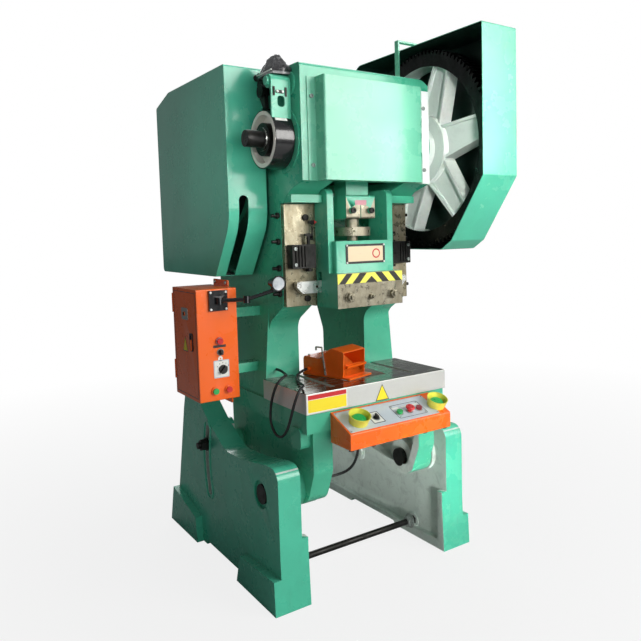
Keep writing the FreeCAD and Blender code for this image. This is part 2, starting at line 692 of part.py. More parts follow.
def make_knockout_stop(label, side):
    """Ribbed clamp block with a tee screw through it that the knock-out bar meets."""
    body = make_body(label)
    front = d.gib_seat - d.gib_thick
    inner, outer = side * d.stop_inner, side * d.stop_outer
    block = rect(inner, outer, d.stop_low, d.stop_high, 4)
    pad(body, "XZ", (d.stop_front, front), block)
    for step in range(4):
        x = side * (d.stop_outer - 14 - 14 * step)
        groove = rect(x - side * 3, x + side * 3, d.stop_low + 6, d.stop_high - 6)
        pocket(body, "XZ", (d.stop_front - 5, d.stop_front + 6), groove)
    screw_x = side * (d.stop_inner + 22)
    screw_y = (d.stop_front + front) / 2
    pad(body, "XY", (d.stop_low - 12, d.stop_high + 34), (screw_x, screw_y, 7))
    pad(body, "XY", (d.stop_low - 14, d.stop_low - 4), (screw_x, screw_y, 15))
    pad(body, "XY", (d.stop_low - 4, d.stop_low + 1), (screw_x, screw_y, 7))
    pad(body, "XZ", (screw_y - 5, screw_y + 5),
        rect(screw_x - 16, screw_x + 16, d.stop_high + 34, d.stop_high + 44, 4))
    return body


# ---------------------------------------------------------------- crank drive
def make_crankshaft():
    """Crank with two round webs, a brake drum seat and stub on the left and the gear seat."""
    body = make_body("crankshaft")
    place(body, 0, d.crank_y, d.crank_z)
    left = [
        (-d.stub_end, 0), (-d.stub_end, d.stub), (-d.drum_outer - 6, d.stub),
        (-d.drum_outer - 6, d.drum_seat), (-d.drum_inner, d.drum_seat),
        (-d.drum_inner, d.journal), (-d.web_inner, d.journal), (-d.web_inner, 0),
    ]
    seat = d.head_half + 20
    right = [
        (d.web_inner, 0), (d.web_inner, d.journal), (seat, d.journal), (seat, d.gear_seat),
        (d.gear_left + d.gear_face + 12, d.gear_seat), (d.gear_left + d.gear_face + 12, 0),
    ]
    revolve(body, "XZ", [left], "H_Axis")
    pad(body, "YZ", (-d.web_outer, -d.web_inner), (0, 0, d.web))
    pad(body, "YZ", (-d.web_inner - 5, d.web_inner + 5), (0, d.throw, d.crank_pin))
    pad(body, "YZ", (d.web_inner, d.web_outer), (0, 0, d.web))
    revolve(body, "XZ", [right], "H_Axis")
    return body


def make_brake_drum():
    """Open drum with a web and a hub that is keyed on the crankshaft."""
    body = make_body("brake_drum")
    place(body, 0, d.crank_y, d.crank_z)
    middle = (d.drum_inner + d.drum_outer) / 2
    hub, rim = d.drum_seat + 18, d.drum - 15
    section = [
        (-d.drum_outer, d.drum_seat), (-d.drum_outer, hub), (-middle - 8, hub), (-middle - 8, rim),
        (-d.drum_outer, rim), (-d.drum_outer, d.drum), (-d.drum_inner, d.drum), (-d.drum_inner, rim),
        (-middle + 8, rim), (-middle + 8, hub), (-d.drum_inner, hub), (-d.drum_inner, d.drum_seat),
    ]
    revolve(body, "XZ", [section], "H_Axis")
    return body


def make_brake_band():
    """Lined steel band round the drum, open at the top, with a lug at each end."""
    body = make_body("brake_band")
    inside = d.drum + d.band_gap
    outside = inside + d.band
    middle = (d.drum_inner + d.drum_outer) / 2
    left, right = -middle - d.band_width / 2, -middle + d.band_width / 2
    place(body, 0, d.crank_y, d.crank_z)
    pad(body, "YZ", (left, right), (0, 0, outside), (0, 0, inside))
    gap = [(-34, 60), (14, 60), (20, outside + 30), (-48, outside + 30)]
    pocket(body, "YZ", (left - 5, right + 5), gap)
    lug = [(24, outside - 4), (36, outside - 8.5), (44, outside + 12), (32, outside + 14)]
    pad(body, "YZ", (left + 20, right - 20), lug)
    return body


def make_brake_anchor():
    """Tube with a flange that carries the fixed end of the band."""
    flange = rod("anchor_flange", d.anchor_disc, 8, -d.head_half, d.anchor_y, d.anchor_z, TO_LEFT)
    tube = rod("anchor_tube", d.anchor, d.drum_outer + 12 - d.head_half,
               -d.head_half, d.anchor_y, d.anchor_z, TO_LEFT)
    return node(fuse("brake_anchor", flange, tube))


def make_brake_strap():
    """Strap from the anchor down to the fixed end of the band."""
    body = make_body("brake_strap")
    middle = (d.drum_inner + d.drum_outer) / 2
    left, right = -middle - d.band_width / 2 - 4, -middle + d.band_width / 2
    front = d.anchor_y - d.anchor - 9
    contact = d.drum + d.band_gap + d.band
    foot_y = d.crank_y - contact * 0.7074
    foot_z = d.crank_z + contact * 0.7074
    pad(body, "YZ", (left, right), (d.anchor_y, d.anchor_z, d.anchor + 9))
    plate = [
        (front, d.anchor_z), (front + 10, d.anchor_z), (foot_y, foot_z + 10),
        (foot_y - 1, foot_z), (foot_y - 9, foot_z - 8),
    ]
    pad(body, "YZ", (left, right), plate)
    pocket(body, "YZ", (left - 5, right + 5), (d.anchor_y, d.anchor_z, d.anchor))
    window = rect(left + 26, right - 26, foot_z + 34, foot_z + 74, 12)
    pocket(body, "XZ", (front - 20, d.anchor_y - 6), window)
    return body


def make_brake_lever():
    """Tension lever on its pin; its foot reaches the lug at the free end of the band."""
    body = make_body("brake_lever")
    place(body, 0, d.crank_y, d.crank_z)
    middle = (d.drum_inner + d.drum_outer) / 2
    lug_y, lug_z = 40, d.drum + 21
    pad(body, "YZ", (-middle - 15, -d.head_half), (62, 196, 13))
    pad(body, "YZ", (-middle - 15, -middle + 15), (62, 196, 26))
    arm = [(lug_y - 9, lug_z), (lug_y + 9, lug_z - 3), (88, 190), (96, 226), (80, 262, 8),
           (62, 262, 8), (48, 222), (36, 196)]
    pad(body, "YZ", (-middle - 8, -middle + 8), arm)
    pad(body, "YZ", (-middle - 14, -middle + 14), (72, 252, 15))
    return body


def tooth_gap(pitch, teeth_half_gap, module):
    """Straight-sided gap between two teeth, centred on the first axis."""
    slope = math.tan(math.radians(20))
    top = teeth_half_gap + (module + 3) * slope
    foot = teeth_half_gap - module * 1.25 * slope
    outer = pitch + module + 3
    root = pitch - module * 1.25
    return [(outer, -top), (outer, top), (root, foot), (root, -foot)]


def make_main_gear():
    """Spoked gear: toothed rim, six wide spokes with raised edges, hub ring towards the head."""
    body = make_body("main_gear")
    place(body, 0, d.crank_y, d.crank_z)
    pitch = d.tooth_module * d.gear_teeth / 2
    tip = pitch + d.tooth_module
    left, right = d.gear_left, d.gear_left + d.gear_face
    pad(body, "YZ", (left, right), (0, 0, tip), (0, 0, d.rim_inner))
    pad(body, "YZ", (left - 38, right + 6), (0, 0, d.gear_nose + 24))
    pad(body, "YZ", (left - 4, right - 20), (0, 0, d.gear_hub))
    spoke_left, spoke_right = left + 26, left + 50
    wide, narrow, edge = 74, 50, 12
    spoke = [(d.gear_hub - 25, -wide), (d.rim_inner + 6, -narrow),
             (d.rim_inner + 6, narrow), (d.gear_hub - 25, wide)]
    plate = pad_spoke(body, spoke_left, spoke_right, spoke)
    repeat_round(body, plate, "X", 6)
    for sense in (-1, 1):
        rib = [(d.gear_hub - 25, sense * wide), (d.rim_inner + 6, sense * narrow),
               (d.rim_inner + 6, sense * (narrow - edge)), (d.gear_hub - 25, sense * (wide - edge))]
        raised = pad_spoke(body, left + 8, right - 14, rib)
        repeat_round(body, raised, "X", 6)
    pocket(body, "YZ", (left - 60, right + 20), (0, 0, d.gear_seat + d.gap))
    half_gap = d.tooth_module * math.pi / 4 + d.backlash / 2
    gap = pocket(body, "YZ", (left - 1, right + 1), tooth_gap(pitch, half_gap, d.tooth_module))
    turn_sketch(gap, mesh_angle(0.5))
    repeat_round(body, gap, "X", d.gear_teeth)
    return body


def pad_spoke(body, low, high, outline):
    feature = pad(body, "YZ", (low, high), outline)
    turn_sketch(feature, Size(170, "170"))
    return feature


def turn_sketch(feature, angle):
    """Turns a feature's sketch in its own plane."""
    sketch = feature.Profile[0]
    base = sketch.AttachmentOffset.Base
    sketch.AttachmentOffset = Placement(base, Rotation(Vector(0, 0, 1), float(angle)))
    sketch.setExpression("AttachmentOffset.Rotation.Angle", angle.text)


def mesh_angle(teeth_back):
    """Angle of the line from the gear to the pinion, less a part of a tooth."""
    rise, run = d.drive_z - d.crank_z, d.drive_y - d.crank_y
    angle = math.degrees(math.atan2(float(rise), float(run)))
    line = Size(angle, f"(atan2({rise.text}; {run.text}) / 1 deg)")
    return line + 360 - teeth_back * (Size(360, "360") / d.gear_teeth)


def make_drive_shaft():
    """Back shaft with its pinion cut on the right end and the flywheel seat on the left."""
    body = make_body("drive_shaft")
    place(body, 0, d.drive_y, d.drive_z)
    pitch = d.tooth_module * d.pinion_teeth / 2
    left, right = d.gear_left - 4, d.gear_left + d.gear_face + 4
    tip = pitch + d.tooth_module
    reach = d.flywheel_inner + d.flywheel_width
    shaft = [
        (-reach - 14, 0), (-reach - 14, d.drive_shaft - 4), (-reach, d.drive_shaft),
        (left, d.drive_shaft), (left, tip), (right, tip), (right, d.drive_shaft - 4),
        (right + 14, d.drive_shaft - 4), (right + 14, 0),
    ]
    revolve(body, "XZ", [shaft], "H_Axis")
    gap = pocket(body, "YZ", (left - 1, right + 1), involute_gap(pitch))
    turn_sketch(gap, mesh_angle(0) - 180)
    repeat_round(body, gap, "X", d.pinion_teeth)
    return body


def involute_gap(pitch):
    """Gap between two pinion teeth: involute flanks from the base circle to past the tips."""
    module = d.tooth_module
    base = float(pitch) * math.cos(math.radians(20))
    half = math.pi / (2 * float(d.pinion_teeth)) + float(d.backlash) / 2 / float(pitch)
    at_pitch = math.tan(math.radians(20)) - math.radians(20)
    root = float(pitch) - 1.25 * float(module)
    flank = []
    for radius in (base, base + 2.5, float(pitch) + 1, float(pitch) + 5, float(pitch) + 9.5):
        pressure = math.acos(base / radius)
        angle = half + (math.tan(pressure) - pressure) - at_pitch
        flank.append((radius * math.cos(angle), radius * math.sin(angle)))
    foot = half - at_pitch
    low = [(root * math.cos(foot), root * math.sin(foot))]
    upper = low + flank
    return [(x, -y) for x, y in reversed(upper)] + upper


def make_flywheel():
    """Heavy rim, dished web with six round holes and a hub."""
    body = make_body("flywheel")
    place(body, 0, d.drive_y, d.drive_z)
    near, far = -d.flywheel_inner, -d.flywheel_inner - d.flywheel_width
    hub, rim = d.drive_shaft + 34, d.flywheel - 49
    section = [
        (near, d.drive_shaft), (near, hub), (near - 44, hub), (near - 44, rim), (near, rim),
        (near, d.flywheel), (far, d.flywheel), (far, rim), (far + 48, rim), (far + 48, hub),
        (far, hub), (far, d.drive_shaft),
    ]
    revolve(body, "XZ", [section], "H_Axis")
    hole = pocket(body, "YZ", (far - 5, near + 5), (165, 0, 42))
    repeat_round(body, hole, "X", 6)
    return body


def make_motor_pulley():
    """Grooved pulley on the motor's shaft end."""
    body = make_body("motor_pulley")
    place(body, 0, d.motor_y, d.motor_z)
    near, far = -d.flywheel_inner - 15, -d.flywheel_inner - d.flywheel_width + 15
    section = [
        (-d.motor_left + 40, 0), (-d.motor_left + 40, 19), (near, 19), (near, d.pulley),
        (far, d.pulley), (far, 0),
    ]
    revolve(body, "XZ", [section], "H_Axis")
    return body


def make_drive_belts():
    """Belts between the motor pulley and the flywheel rim, a running gap clear of both."""
    body = make_body("drive_belts")
    span_y, span_z = float(d.motor_y - d.drive_y), float(d.motor_z - d.drive_z)
    distance = math.hypot(span_y, span_z)
    lean = math.atan2(span_z, span_y)
    clear = d.gap + 0.2
    near, far = -d.flywheel_inner - 25, -d.flywheel_inner - d.flywheel_width + 25
    for grow, cut in ((d.belt, False), (0, True)):
        big = d.flywheel + clear + grow
        small = d.pulley + clear + grow
        spread = math.acos((float(big) - float(small)) / distance)
        corners = []
        for sense in (1, -1):
            angle = lean + sense * spread
            corners.append((math.cos(angle), math.sin(angle)))
        (ay, az), (by, bz) = corners
        hull = [
            (d.drive_y + big * by, d.drive_z + big * bz),
            (d.motor_y + small * by, d.motor_z + small * bz),
            (d.motor_y + small * ay, d.motor_z + small * az),
            (d.drive_y + big * ay, d.drive_z + big * az),
        ]
        make = pocket if cut else pad
        wider = 5 if cut else 0
        ends = (near + wider, far - wider)
        if not cut:
            pad(body, "YZ", ends, (d.drive_y, d.drive_z, big))
        else:
            pocket(body, "YZ", ends, (d.drive_y, d.drive_z, big))
        make(body, "YZ", ends, hull)
        make(body, "YZ", ends, (d.motor_y, d.motor_z, small))
    return body


def make_shaft_bearings():
    """Flanged bearing housings of the back shaft, one on each side of the head."""
    pieces = []
    for side, turn in ((-1, TO_LEFT), (1, TO_RIGHT)):
        hand = "left" if side < 0 else "right"
        face = side * (d.head_half + 6)
        flange = rod(f"bearing_flange_{hand}", 72, 14, face, d.drive_y, d.drive_z, turn)
        spigot = rod(f"bearing_spigot_{hand}", d.drive_shaft + 22, 70,
                     side * (d.head_half - 60), d.drive_y, d.drive_z, turn)
        housing = fuse(f"bearing_{hand}", flange, spigot)
        pieces.append(bored(housing, d.drive_shaft + d.fit, 120,
                            side * (d.head_half - 70), d.drive_y, d.drive_z, turn))
    group("drive_shaft_bearings", pieces)


def make_motor():
    """Foot-mounted motor with cooling fins, a fan cover and a terminal box."""
    body = make_body("motor")
    place(body, 0, d.motor_y, d.motor_z)
    left, right = -d.motor_left, d.motor_right
    section = [
        (left, 0), (left, d.motor - 25), (left + 30, d.motor - 25), (left + 30, d.motor - 12),
        (right - 86, d.motor - 12), (right - 86, d.motor - 3), (right, d.motor - 3), (right, 0),
    ]
    revolve(body, "XZ", [section], "H_Axis")
    fin = pad(body, "YZ", (left + 34, right - 94), rect(-2.5, 2.5, d.motor - 16, d.motor + 2))
    repeat_round(body, fin, "X", 20)
    seat = d.mount_y + d.mount_thick - d.motor_y
    for x in (left + 60, right - 150):
        foot = rect(x, x + 44, -d.motor + 4, d.motor - 4, 8)
        pad(body, "XZ", (seat, seat + 14), foot)
        web = rect(x + 14, x + 30, -70, 70)
        pad(body, "XZ", (seat + 8, -70), web)
    box = rect(left + 80, left + 180, -44, 44, 8)
    pad(body, "XY", (d.motor - 20, d.motor + 40), box)
    bore = 19 + d.gap
    pocket(body, "YZ", (left - 5, left + 45), (0, 0, bore))
    return body


def make_motor_mount():
    """Plate on the back of the head, with slots that let the motor tighten the belts."""
    body = make_body("motor_mount")
    low, high = d.motor_z - d.motor - 20, d.motor_z + d.motor + 14
    near, far = -d.motor_left, d.motor_right - 60
    pad(body, "XZ", (d.mount_y, d.mount_y + d.mount_thick), rect(near, far, low, high, 12))
    for x in (near + 82, far - 68):
        for z in (low + 30, high - 30):
            slot = rect(x - 7, x + 7, z - 18, z + 18, 6.9)
            pocket(body, "XZ", (d.mount_y - 1, d.mount_y + d.mount_thick + 1), slot)
    return body


# ---------------------------------------------------------------- slide and rod
def make_connecting_rod():
    """Eye on the crank pin, tapered neck and the split block that clamps the ball screw."""
    body = make_body("connecting_rod")
    pin_z = d.crank_z + d.throw
    place(body, 0, d.crank_y, pin_z)
    pad(body, "YZ", (-d.rod_half, d.rod_half), (0, 0, d.rod_eye))
    low, high = d.block_low - pin_z, d.block_high - pin_z
    half = d.neck_depth / 2
    neck = [(-half - 14, -60), (-half, -150, 60), (-half, high - 6), (half, high - 6),
            (half, -150, 60), (half + 14, -60)]
    pad(body, "YZ", (-d.rod_neck, d.rod_neck), neck)
    depth = d.crank_y - d.block_front
    pad(body, "YZ", (-d.block_half, d.block_half), rect(-depth, depth, low, high, 8))
    pocket(body, "YZ", (-d.rod_half - 5, d.rod_half + 5), (0, 0, d.rod_bore))
    pocket(body, "XY", (low - 5, high - 20), (0, 0, d.screw))
    split = rect(-2, 2, low - 5, high - 30)
    pocket(body, "XZ", (-depth - 5, 0), split)
    for x in (-46, 46):
        bolt = rect(x - 13, x + 13, d.block_low + 20 - pin_z, d.block_low + 46 - pin_z, 12.9)
        pad(body, "XZ", (-depth - 12, -depth + 2), bolt)
    return body


def make_ball_screw():
    """Ball-ended screw that sets the slide height, with its round ring nut."""
    screw = doc.addObject("PartDesign::Body", "ball_end_screw")
    place(screw, 0, d.crank_y, d.ball_z)
    top = d.block_high - 22 - d.ball_z
    revolve(screw, "XZ", [[(0, 20), (d.screw - 8, 20), (d.screw - 8, 52), (d.screw, 52),
                           (d.screw, top), (0, top)]], "V_Axis")
    ball = doc.addObject("Part::Sphere", "ball_end")
    bind(ball, "Radius", d.ball)
    place(ball, 0, d.crank_y, d.ball_z)
    whole = fuse("ball_screw_whole", screw, ball)
    nut = doc.addObject("PartDesign::Body", "ring_nut")
    place(nut, 0, d.crank_y, d.nut_low)
    tall = d.nut_high - d.nut_low
    revolve(nut, "XZ", [[(d.screw, 0), (d.nut, 0), (d.nut, tall), (d.screw, tall)]], "V_Axis")
    hole = pocket(nut, "YZ", (d.nut - 14, d.nut + 5), (0, tall / 2, 6))
    repeat_round(nut, hole, "Z", 6)
    group("ball_screw", [whole, nut])


def make_ram():
    """Slide: machined block below, box with the ball seat and two arms, vee groove each side."""
    body = make_body("ram")
    half = d.ram_half
    pad(body, "XY", (d.ram_bottom, d.ram_block_top), rect(-half, half, d.ram_front, d.ram_rear, 3))
    shoulder = rect(-half, half, d.arm_front, d.ram_rear, 3)
    pad(body, "XY", (d.ram_block_top - 5, d.box_top), shoulder)
    front_box = rect(-d.box_half, d.box_half, d.box_front, d.arm_front + 20, 8)
    pad(body, "XY", (d.ram_block_top - 5, d.box_top), front_box)
    for side in (-1, 1):
        arm = [(d.arm_front, d.box_top - 5), (d.arm_front, d.arm_top, 26),
               (d.arm_front + 136, d.arm_top, 26), (d.arm_front + 136, d.box_top - 5)]
        pad(body, "YZ", (side * (half - d.arm_thick), side * half), arm)
    middle = d.gib_seat - d.gib_thick / 2
    depth = d.gib_inner - d.land_depth - d.gap
    for side in (-1, 1):
        groove = [
            (side * (half + 5), middle - d.land_half - 1), (side * (half + 5), middle + d.land_half + 1),
            (side * depth, middle + 3.6), (side * depth, middle - 3.6),
        ]
        pocket(body, "XY", (d.ram_bottom - 5, d.arm_top + 5), groove)
    seat = rect(-d.seat_half, d.seat_half, d.box_front + 10, d.ram_rear - 14, 20)
    pocket(body, "XY", (d.seat_floor, d.box_top + 5), seat)
    slot = rect(d.crank_y - 10.3, d.crank_y + 15.3, d.bar_slot_low - d.gap, d.bar_slot_high)
    pocket(body, "YZ", (-half - 5, half + 5), slot)
    pocket(body, "XY", (d.ram_bottom - 5, d.ram_bottom + d.shank_depth), (0, d.crank_y, d.shank_bore))
    clamp = rect(-half + 40, half - 40, d.ram_front - 5, d.ram_front + 50)
    pocket(body, "XY", (d.ram_bottom - 5, d.ram_bottom + 95), clamp)
    return body


def make_shank_clamp():
    """Block let into the front of the slide that clamps the tool shank, with its nuts."""
    body = doc.addObject("PartDesign::Body", "clamp_block")
    half = d.ram_half - 40
    pad(body, "XY", (d.ram_bottom, d.ram_bottom + 95), rect(-half, half, d.ram_front, d.ram_front + 50))
    pieces = [body]
    z = d.ram_bottom + 45
    for side, hand in ((-1, "left"), (1, "right")):
        washer = rod(f"clamp_washer_{hand}", 21, 4, side * 107, d.ram_front, z, TO_FRONT)
        nut = hexagon(f"clamp_nut_{hand}", 18, 16, side * 107, d.ram_front - 4, z, TO_FRONT)
        stud = rod(f"clamp_stud_{hand}", 9, 30, side * 107, d.ram_front, z, TO_FRONT)
        pieces.append(fuse(f"clamp_set_{hand}", washer, nut, stud))
    collar = rod("set_screw_collar", 11, 14, 0, d.ram_front, z - 5, TO_FRONT)
    square = rod("set_screw_end", 7, 26, 0, d.ram_front, z - 5, TO_FRONT)
    pieces.append(fuse("set_screw", collar, square))
    group("shank_clamp", pieces)


def make_knockout_bar():
    """Flat bar that lies across the slide, with bevelled ends."""
    body = make_body("knockout_bar")
    low, high = d.bar_slot_low, d.bar_slot_low + 49
    end = 278
    outline = [(-end, low + 26), (-end + 26, low), (end - 26, low), (end, low + 26),
               (end, high - 6), (end - 6, high), (-end + 6, high), (-end, high - 6)]
    pad(body, "XZ", (d.crank_y - 10, d.crank_y + 15), outline)
    for side in (-1, 1):
        pocket(body, "XZ", (d.crank_y - 20, d.crank_y + 20), (side * (d.ram_half + 22), low + 26, 6))
    return body


# ---------------------------------------------------------------- guards
def make_gear_guard():
    """Sheet guard round the gear, open towards the head, on three lugs."""
    body = make_body("gear_guard")
    outline = [
        (-800, d.guard_top, 6), (-800, 1664, 6), (-606, 1402, 30), (-540, 1363, 30),
        (20, 1363, 60), (240, 1590, 60), (240, 2060, 60), (60, d.guard_top, 60),
    ]
    pad(body, "YZ", (d.gear_guard_inner, d.gear_guard_outer), outline)
    inner = float(d.gear_guard_inner)
    hollow(body, d.guard_sheet, lambda face: abs(face.CenterOfMass.x - inner) < 0.1)
    for y, z in ((-240, 1363), (-60, 1363)):
        lug = rect(y, y + d.guard_lug, z, z + 12)
        pad(body, "YZ", (d.head_half, d.gear_guard_inner + 12), lug)
    lug = rect(228, 240, 1760, 1760 + d.guard_lug)
    pad(body, "YZ", (d.head_half, d.gear_guard_inner + 12), lug)
    return body


def make_guard_bracket():
    """Bent strip from the top of the head to the top of the gear guard."""
    body = make_body("gear_guard_bracket")
    slope = d.bevel_drop / d.bevel_run
    x = d.strip_x
    foot = d.head_top - (x - d.head_half + d.bevel_run) * slope
    outline = [
        (x, foot), (x, d.strip_top), (x + 108, d.strip_top), (x + 108, d.guard_top),
        (x + 100, d.guard_top), (x + 100, d.strip_top - 8), (x + 8, d.strip_top - 8),
        (x + 8, foot - slope * 8),
    ]
    pad(body, "XZ", (d.strip_y, d.strip_y + 26), outline)
    return body


def make_flywheel_guard():
    """Sheet guard round the flywheel and belts; a slot runs down the front and round the bend."""
    body = make_body("flywheel_guard")
    outline = [
        (d.wheel_guard_front, d.wheel_guard_top, 8), (d.wheel_guard_front, 1490, 190),
        (-75, d.wheel_guard_low, 6), (d.wheel_guard_rear, d.wheel_guard_low, 20),
        (d.wheel_guard_rear, 2060, 12), (400, d.wheel_guard_top, 12),
    ]
    pad(body, "YZ", (-d.wheel_guard_outer, -d.wheel_guard_inner), outline)
    inner = -float(d.wheel_guard_inner)
    hollow(body, d.guard_sheet, lambda face: abs(face.CenterOfMass.x - inner) < 0.1)
    for y, z, wide, tall in ((120, d.head_top - 12, 40, 12), (120, d.wheel_guard_low, 40, 12),
                             (d.wheel_guard_front, 1900, 12, 40)):
        pad(body, "YZ", (-d.head_half, -d.wheel_guard_inner - 12), rect(y, y + wide, z, z + tall))
    tab = rect(120, 160, d.head_top - 12, d.wheel_guard_top - 1)
    pad(body, "YZ", (-d.wheel_guard_inner - 12, -d.wheel_guard_inner), tab)
    slot = [(-458, 1200), (-418, 1200), (-418, 1603, 19.9), (-458, 1603, 19.9)]
    pocket(body, "XZ", (d.wheel_guard_front - 10, -66), slot)
    return body


# ---------------------------------------------------------------- controls on the left
def taper_x(z):
    """Distance of the upright's side face from the middle at a height."""
    drop = (d.taper_top - z) / (d.taper_top - 837)
    return d.head_half + (d.upright_foot - d.head_half) * drop


def make_control_box():
    """Sheet cabinet that is open on its left side, with button bezels on the front."""
    body = make_body("control_box")
    left = -d.box_outer + d.door_thick
    pad(body, "YZ", (left, -d.box_inner), rect(d.box_near, d.box_far, d.box_low, d.box_high, 4))
    hollow(body, d.box_sheet, lambda face: abs(face.CenterOfMass.x - float(left)) < 0.1)
    for x in (-578, -522):
        bezel = (x, 829, 17)
        pad(body, "XZ", (d.box_near - 6, d.box_near + 1), bezel)
        pocket(body, "XZ", (d.box_near - 7, d.box_near + 5), (x, 829, 12.3))
    for z in (983, 913):
        x = -551 if z == 983 else -543
        pocket(body, "XZ", (d.box_near - 1, d.box_near + 5), (x, z, 5.3))
    hinge_x, hinge_y = -d.box_outer + 1, d.box_far + d.hinge
    for z in (850, 1130):
        for start in (z, z + 60):
            pad(body, "XY", (start, start + 20), (hinge_x, hinge_y, d.hinge))
            leaf = rect(left, left + 14, d.box_far - 1, d.box_far + 2.5)
            pad(body, "XY", (start, start + 20), leaf)
    return body


def make_control_box_door():
    """Flat door on the left side, with its hinge knuckles at the back edge."""
    body = make_body("control_box_door")
    left, right = -d.box_outer, -d.box_outer + d.door_thick
    pad(body, "YZ", (left, right), rect(d.box_near, d.box_far, d.box_low, d.box_high, 4))
    hinge_x, hinge_y = -d.box_outer + 1, d.box_far + d.hinge
    for z in (850, 1130):
        pad(body, "XY", (z + 20 + d.gap, z + 60 - d.gap), (hinge_x, hinge_y, d.hinge))
        leaf = rect(left, right - 0.5, d.box_far - 1, hinge_y)
        pad(body, "XY", (z + 20 + d.gap, z + 60 - d.gap), leaf)
    pad(body, "YZ", (left - 5, left), (-76, 1134, 9))
    pad(body, "YZ", (left - 7, left), rect(-146, -136, 990, 1036, 4))
    return body


def make_box_brackets():
    """Mounting plate behind the cabinet and two arms to the side of the upright."""
    body = make_body("control_box_brackets")
    near, far = -130, 20
    plate = rect(near, far, d.box_low - 40, d.box_high + 26, 6)
    pad(body, "YZ", (-d.box_inner, -d.box_inner + 5), plate)
    for z in (d.box_low + 71, d.taper_top - 40):
        arm = [
            (-d.box_inner + 4, z), (-taper_x(z), z), (-taper_x(z + 40), z + 40),
            (-d.box_inner + 4, z + 40),
        ]
        pad(body, "XZ", (-90, -20), arm)
    return body


def make_knob(label, x, z, base, long, wide, tilt):
    """Round base with a grip bar across it, turning on its spindle through the front."""
    body = make_body(label)
    turn = Rotation(Vector(1, 0, 0), 90) * Rotation(Vector(0, 0, 1), tilt)
    place(body, x, d.box_near - 0.3, z, turn)
    pad(body, "XY", (-14, 2), (0, 0, 5))
    pad(body, "XY", (0, 7), (0, 0, base))
    pad(body, "XY", (5, 19), rect(-wide / 2, wide / 2, -long / 2, long / 2, wide / 2.2))
    return body


def make_push_button(label, x, z):
    body = make_body(label)
    place(body, x, d.box_near - 5, z, Rotation(Vector(1, 0, 0), 90))
    revolve(body, "XZ", [[(0, -10), (12, -10), (12, 8), (0, 8)]], "V_Axis")
    return body


def make_indicator_lamp():
    body = make_body("indicator_lamp")
    place(body, -554, d.box_near, 1028, Rotation(Vector(1, 0, 0), 90))
    revolve(body, "XZ", [[(0, 0), (16, 0), (16, 4), (12, 4), (12, 15), (0, 15)]], "V_Axis")
    return body


def between(name, radius, start, end):
    """A round bar from one point to another."""
    a, b = Vector(*start), Vector(*end)
    item = doc.addObject("Part::Cylinder", name)
    bind(item, "Radius", radius)
    item.Height = (b - a).Length
    item.Placement = Placement(a, Rotation(Vector(0, 0, 1), b - a))
    return item


def make_work_lamp():
    """Jointed arm from the front of the cabinet, and the lamp head on its knuckle."""
    plate = doc.addObject("Part::Box", "lamp_plate")
    plate.Length, plate.Width, plate.Height = 77, 10, 81
    place(plate, -593, d.box_near - 10, 1149)
    root, elbow, knuckle = (-554, -230, 1190), (-478, -318, 1196), (-382, -356, 1226)
    barrel, pin, ear = 9, 4, 3
    pieces = [plate, between("lamp_stalk", 9, (-554, -217, 1190), root)]
    for name, (x, y, z) in (("lamp_root", root), ("lamp_elbow", elbow)):
        pieces.append(rod(name, 13, 28, x, y, z - 14))
    pieces.append(between("lamp_arm_low", 8, root, elbow))
    pieces.append(between("lamp_arm_high", 8, elbow, knuckle))
    x, y, z = knuckle
    pieces.append(rod("lamp_knuckle", barrel, 2 * barrel, x - barrel, y, z, TO_RIGHT))
    pieces.append(rod("lamp_pin", pin, barrel + ear + 2, x, y, z, TO_RIGHT))
    node(fuse("work_lamp_arm", *pieces))
    head = make_body("work_lamp_head")
    drop = 29
    place(head, x, y, z + drop)
    revolve(head, "XY", [[(0, -44), (26, -44), (26, -47), (30, -47), (30, -36), (24, -36), (24, -12),
                          (17, -12), (17, 14), (0, 14)]], "V_Axis")
    near = barrel + d.gap
    pad(head, "YZ", (near, near + ear), rect(-8, 8, -drop - 8, -10))
    pocket(head, "YZ", (near - 1, near + ear + 1), (0, -drop, pin + d.fit))
    return head


# ---------------------------------------------------------------- two-hand console
def desk_point(x, up_slope, lift=0.0):
    """A place on the sloping panel, measured up from its front edge."""
    run, rise = d.table_front - d.desk_front, d.desk_rise - d.desk_edge
    length = math.hypot(float(run), float(rise))
    y = d.desk_front + run * (up_slope / length) - rise * (lift / length)
    z = d.desk_edge + rise * (up_slope / length) + run * (lift / length)
    return x, y, z


def desk_turn():
    run, rise = float(d.table_front - d.desk_front), float(d.desk_rise - d.desk_edge)
    return Rotation(Vector(1, 0, 0), math.degrees(math.atan2(rise, run)))


DESK_ROW = 60
PALM_STEM = 9
DESK_STEM = 7
PALM_X = (-165, 230)
DESK_X = {"console_selector": -79, "start_button": 37, "stop_button": 88, "reset_button": 137}


def make_console():
    """Sheet desk on the front of the table, open underneath, with a hole for each control."""
    body = make_body("console")
    outline = [
        (d.desk_front, d.desk_low), (d.desk_front, d.desk_edge, 6), (d.table_front, d.desk_rise),
        (d.table_front, d.desk_low),
    ]
    pad(body, "YZ", (d.desk_left, d.desk_right), outline)
    low = float(d.desk_low)
    hollow(body, 3, lambda face: abs(face.CenterOfMass.z - low) < 0.1)
    for x in PALM_X:
        desk_hole(body, x, PALM_STEM)
    for label, x in DESK_X.items():
        desk_hole(body, x, DESK_STEM)
    return body


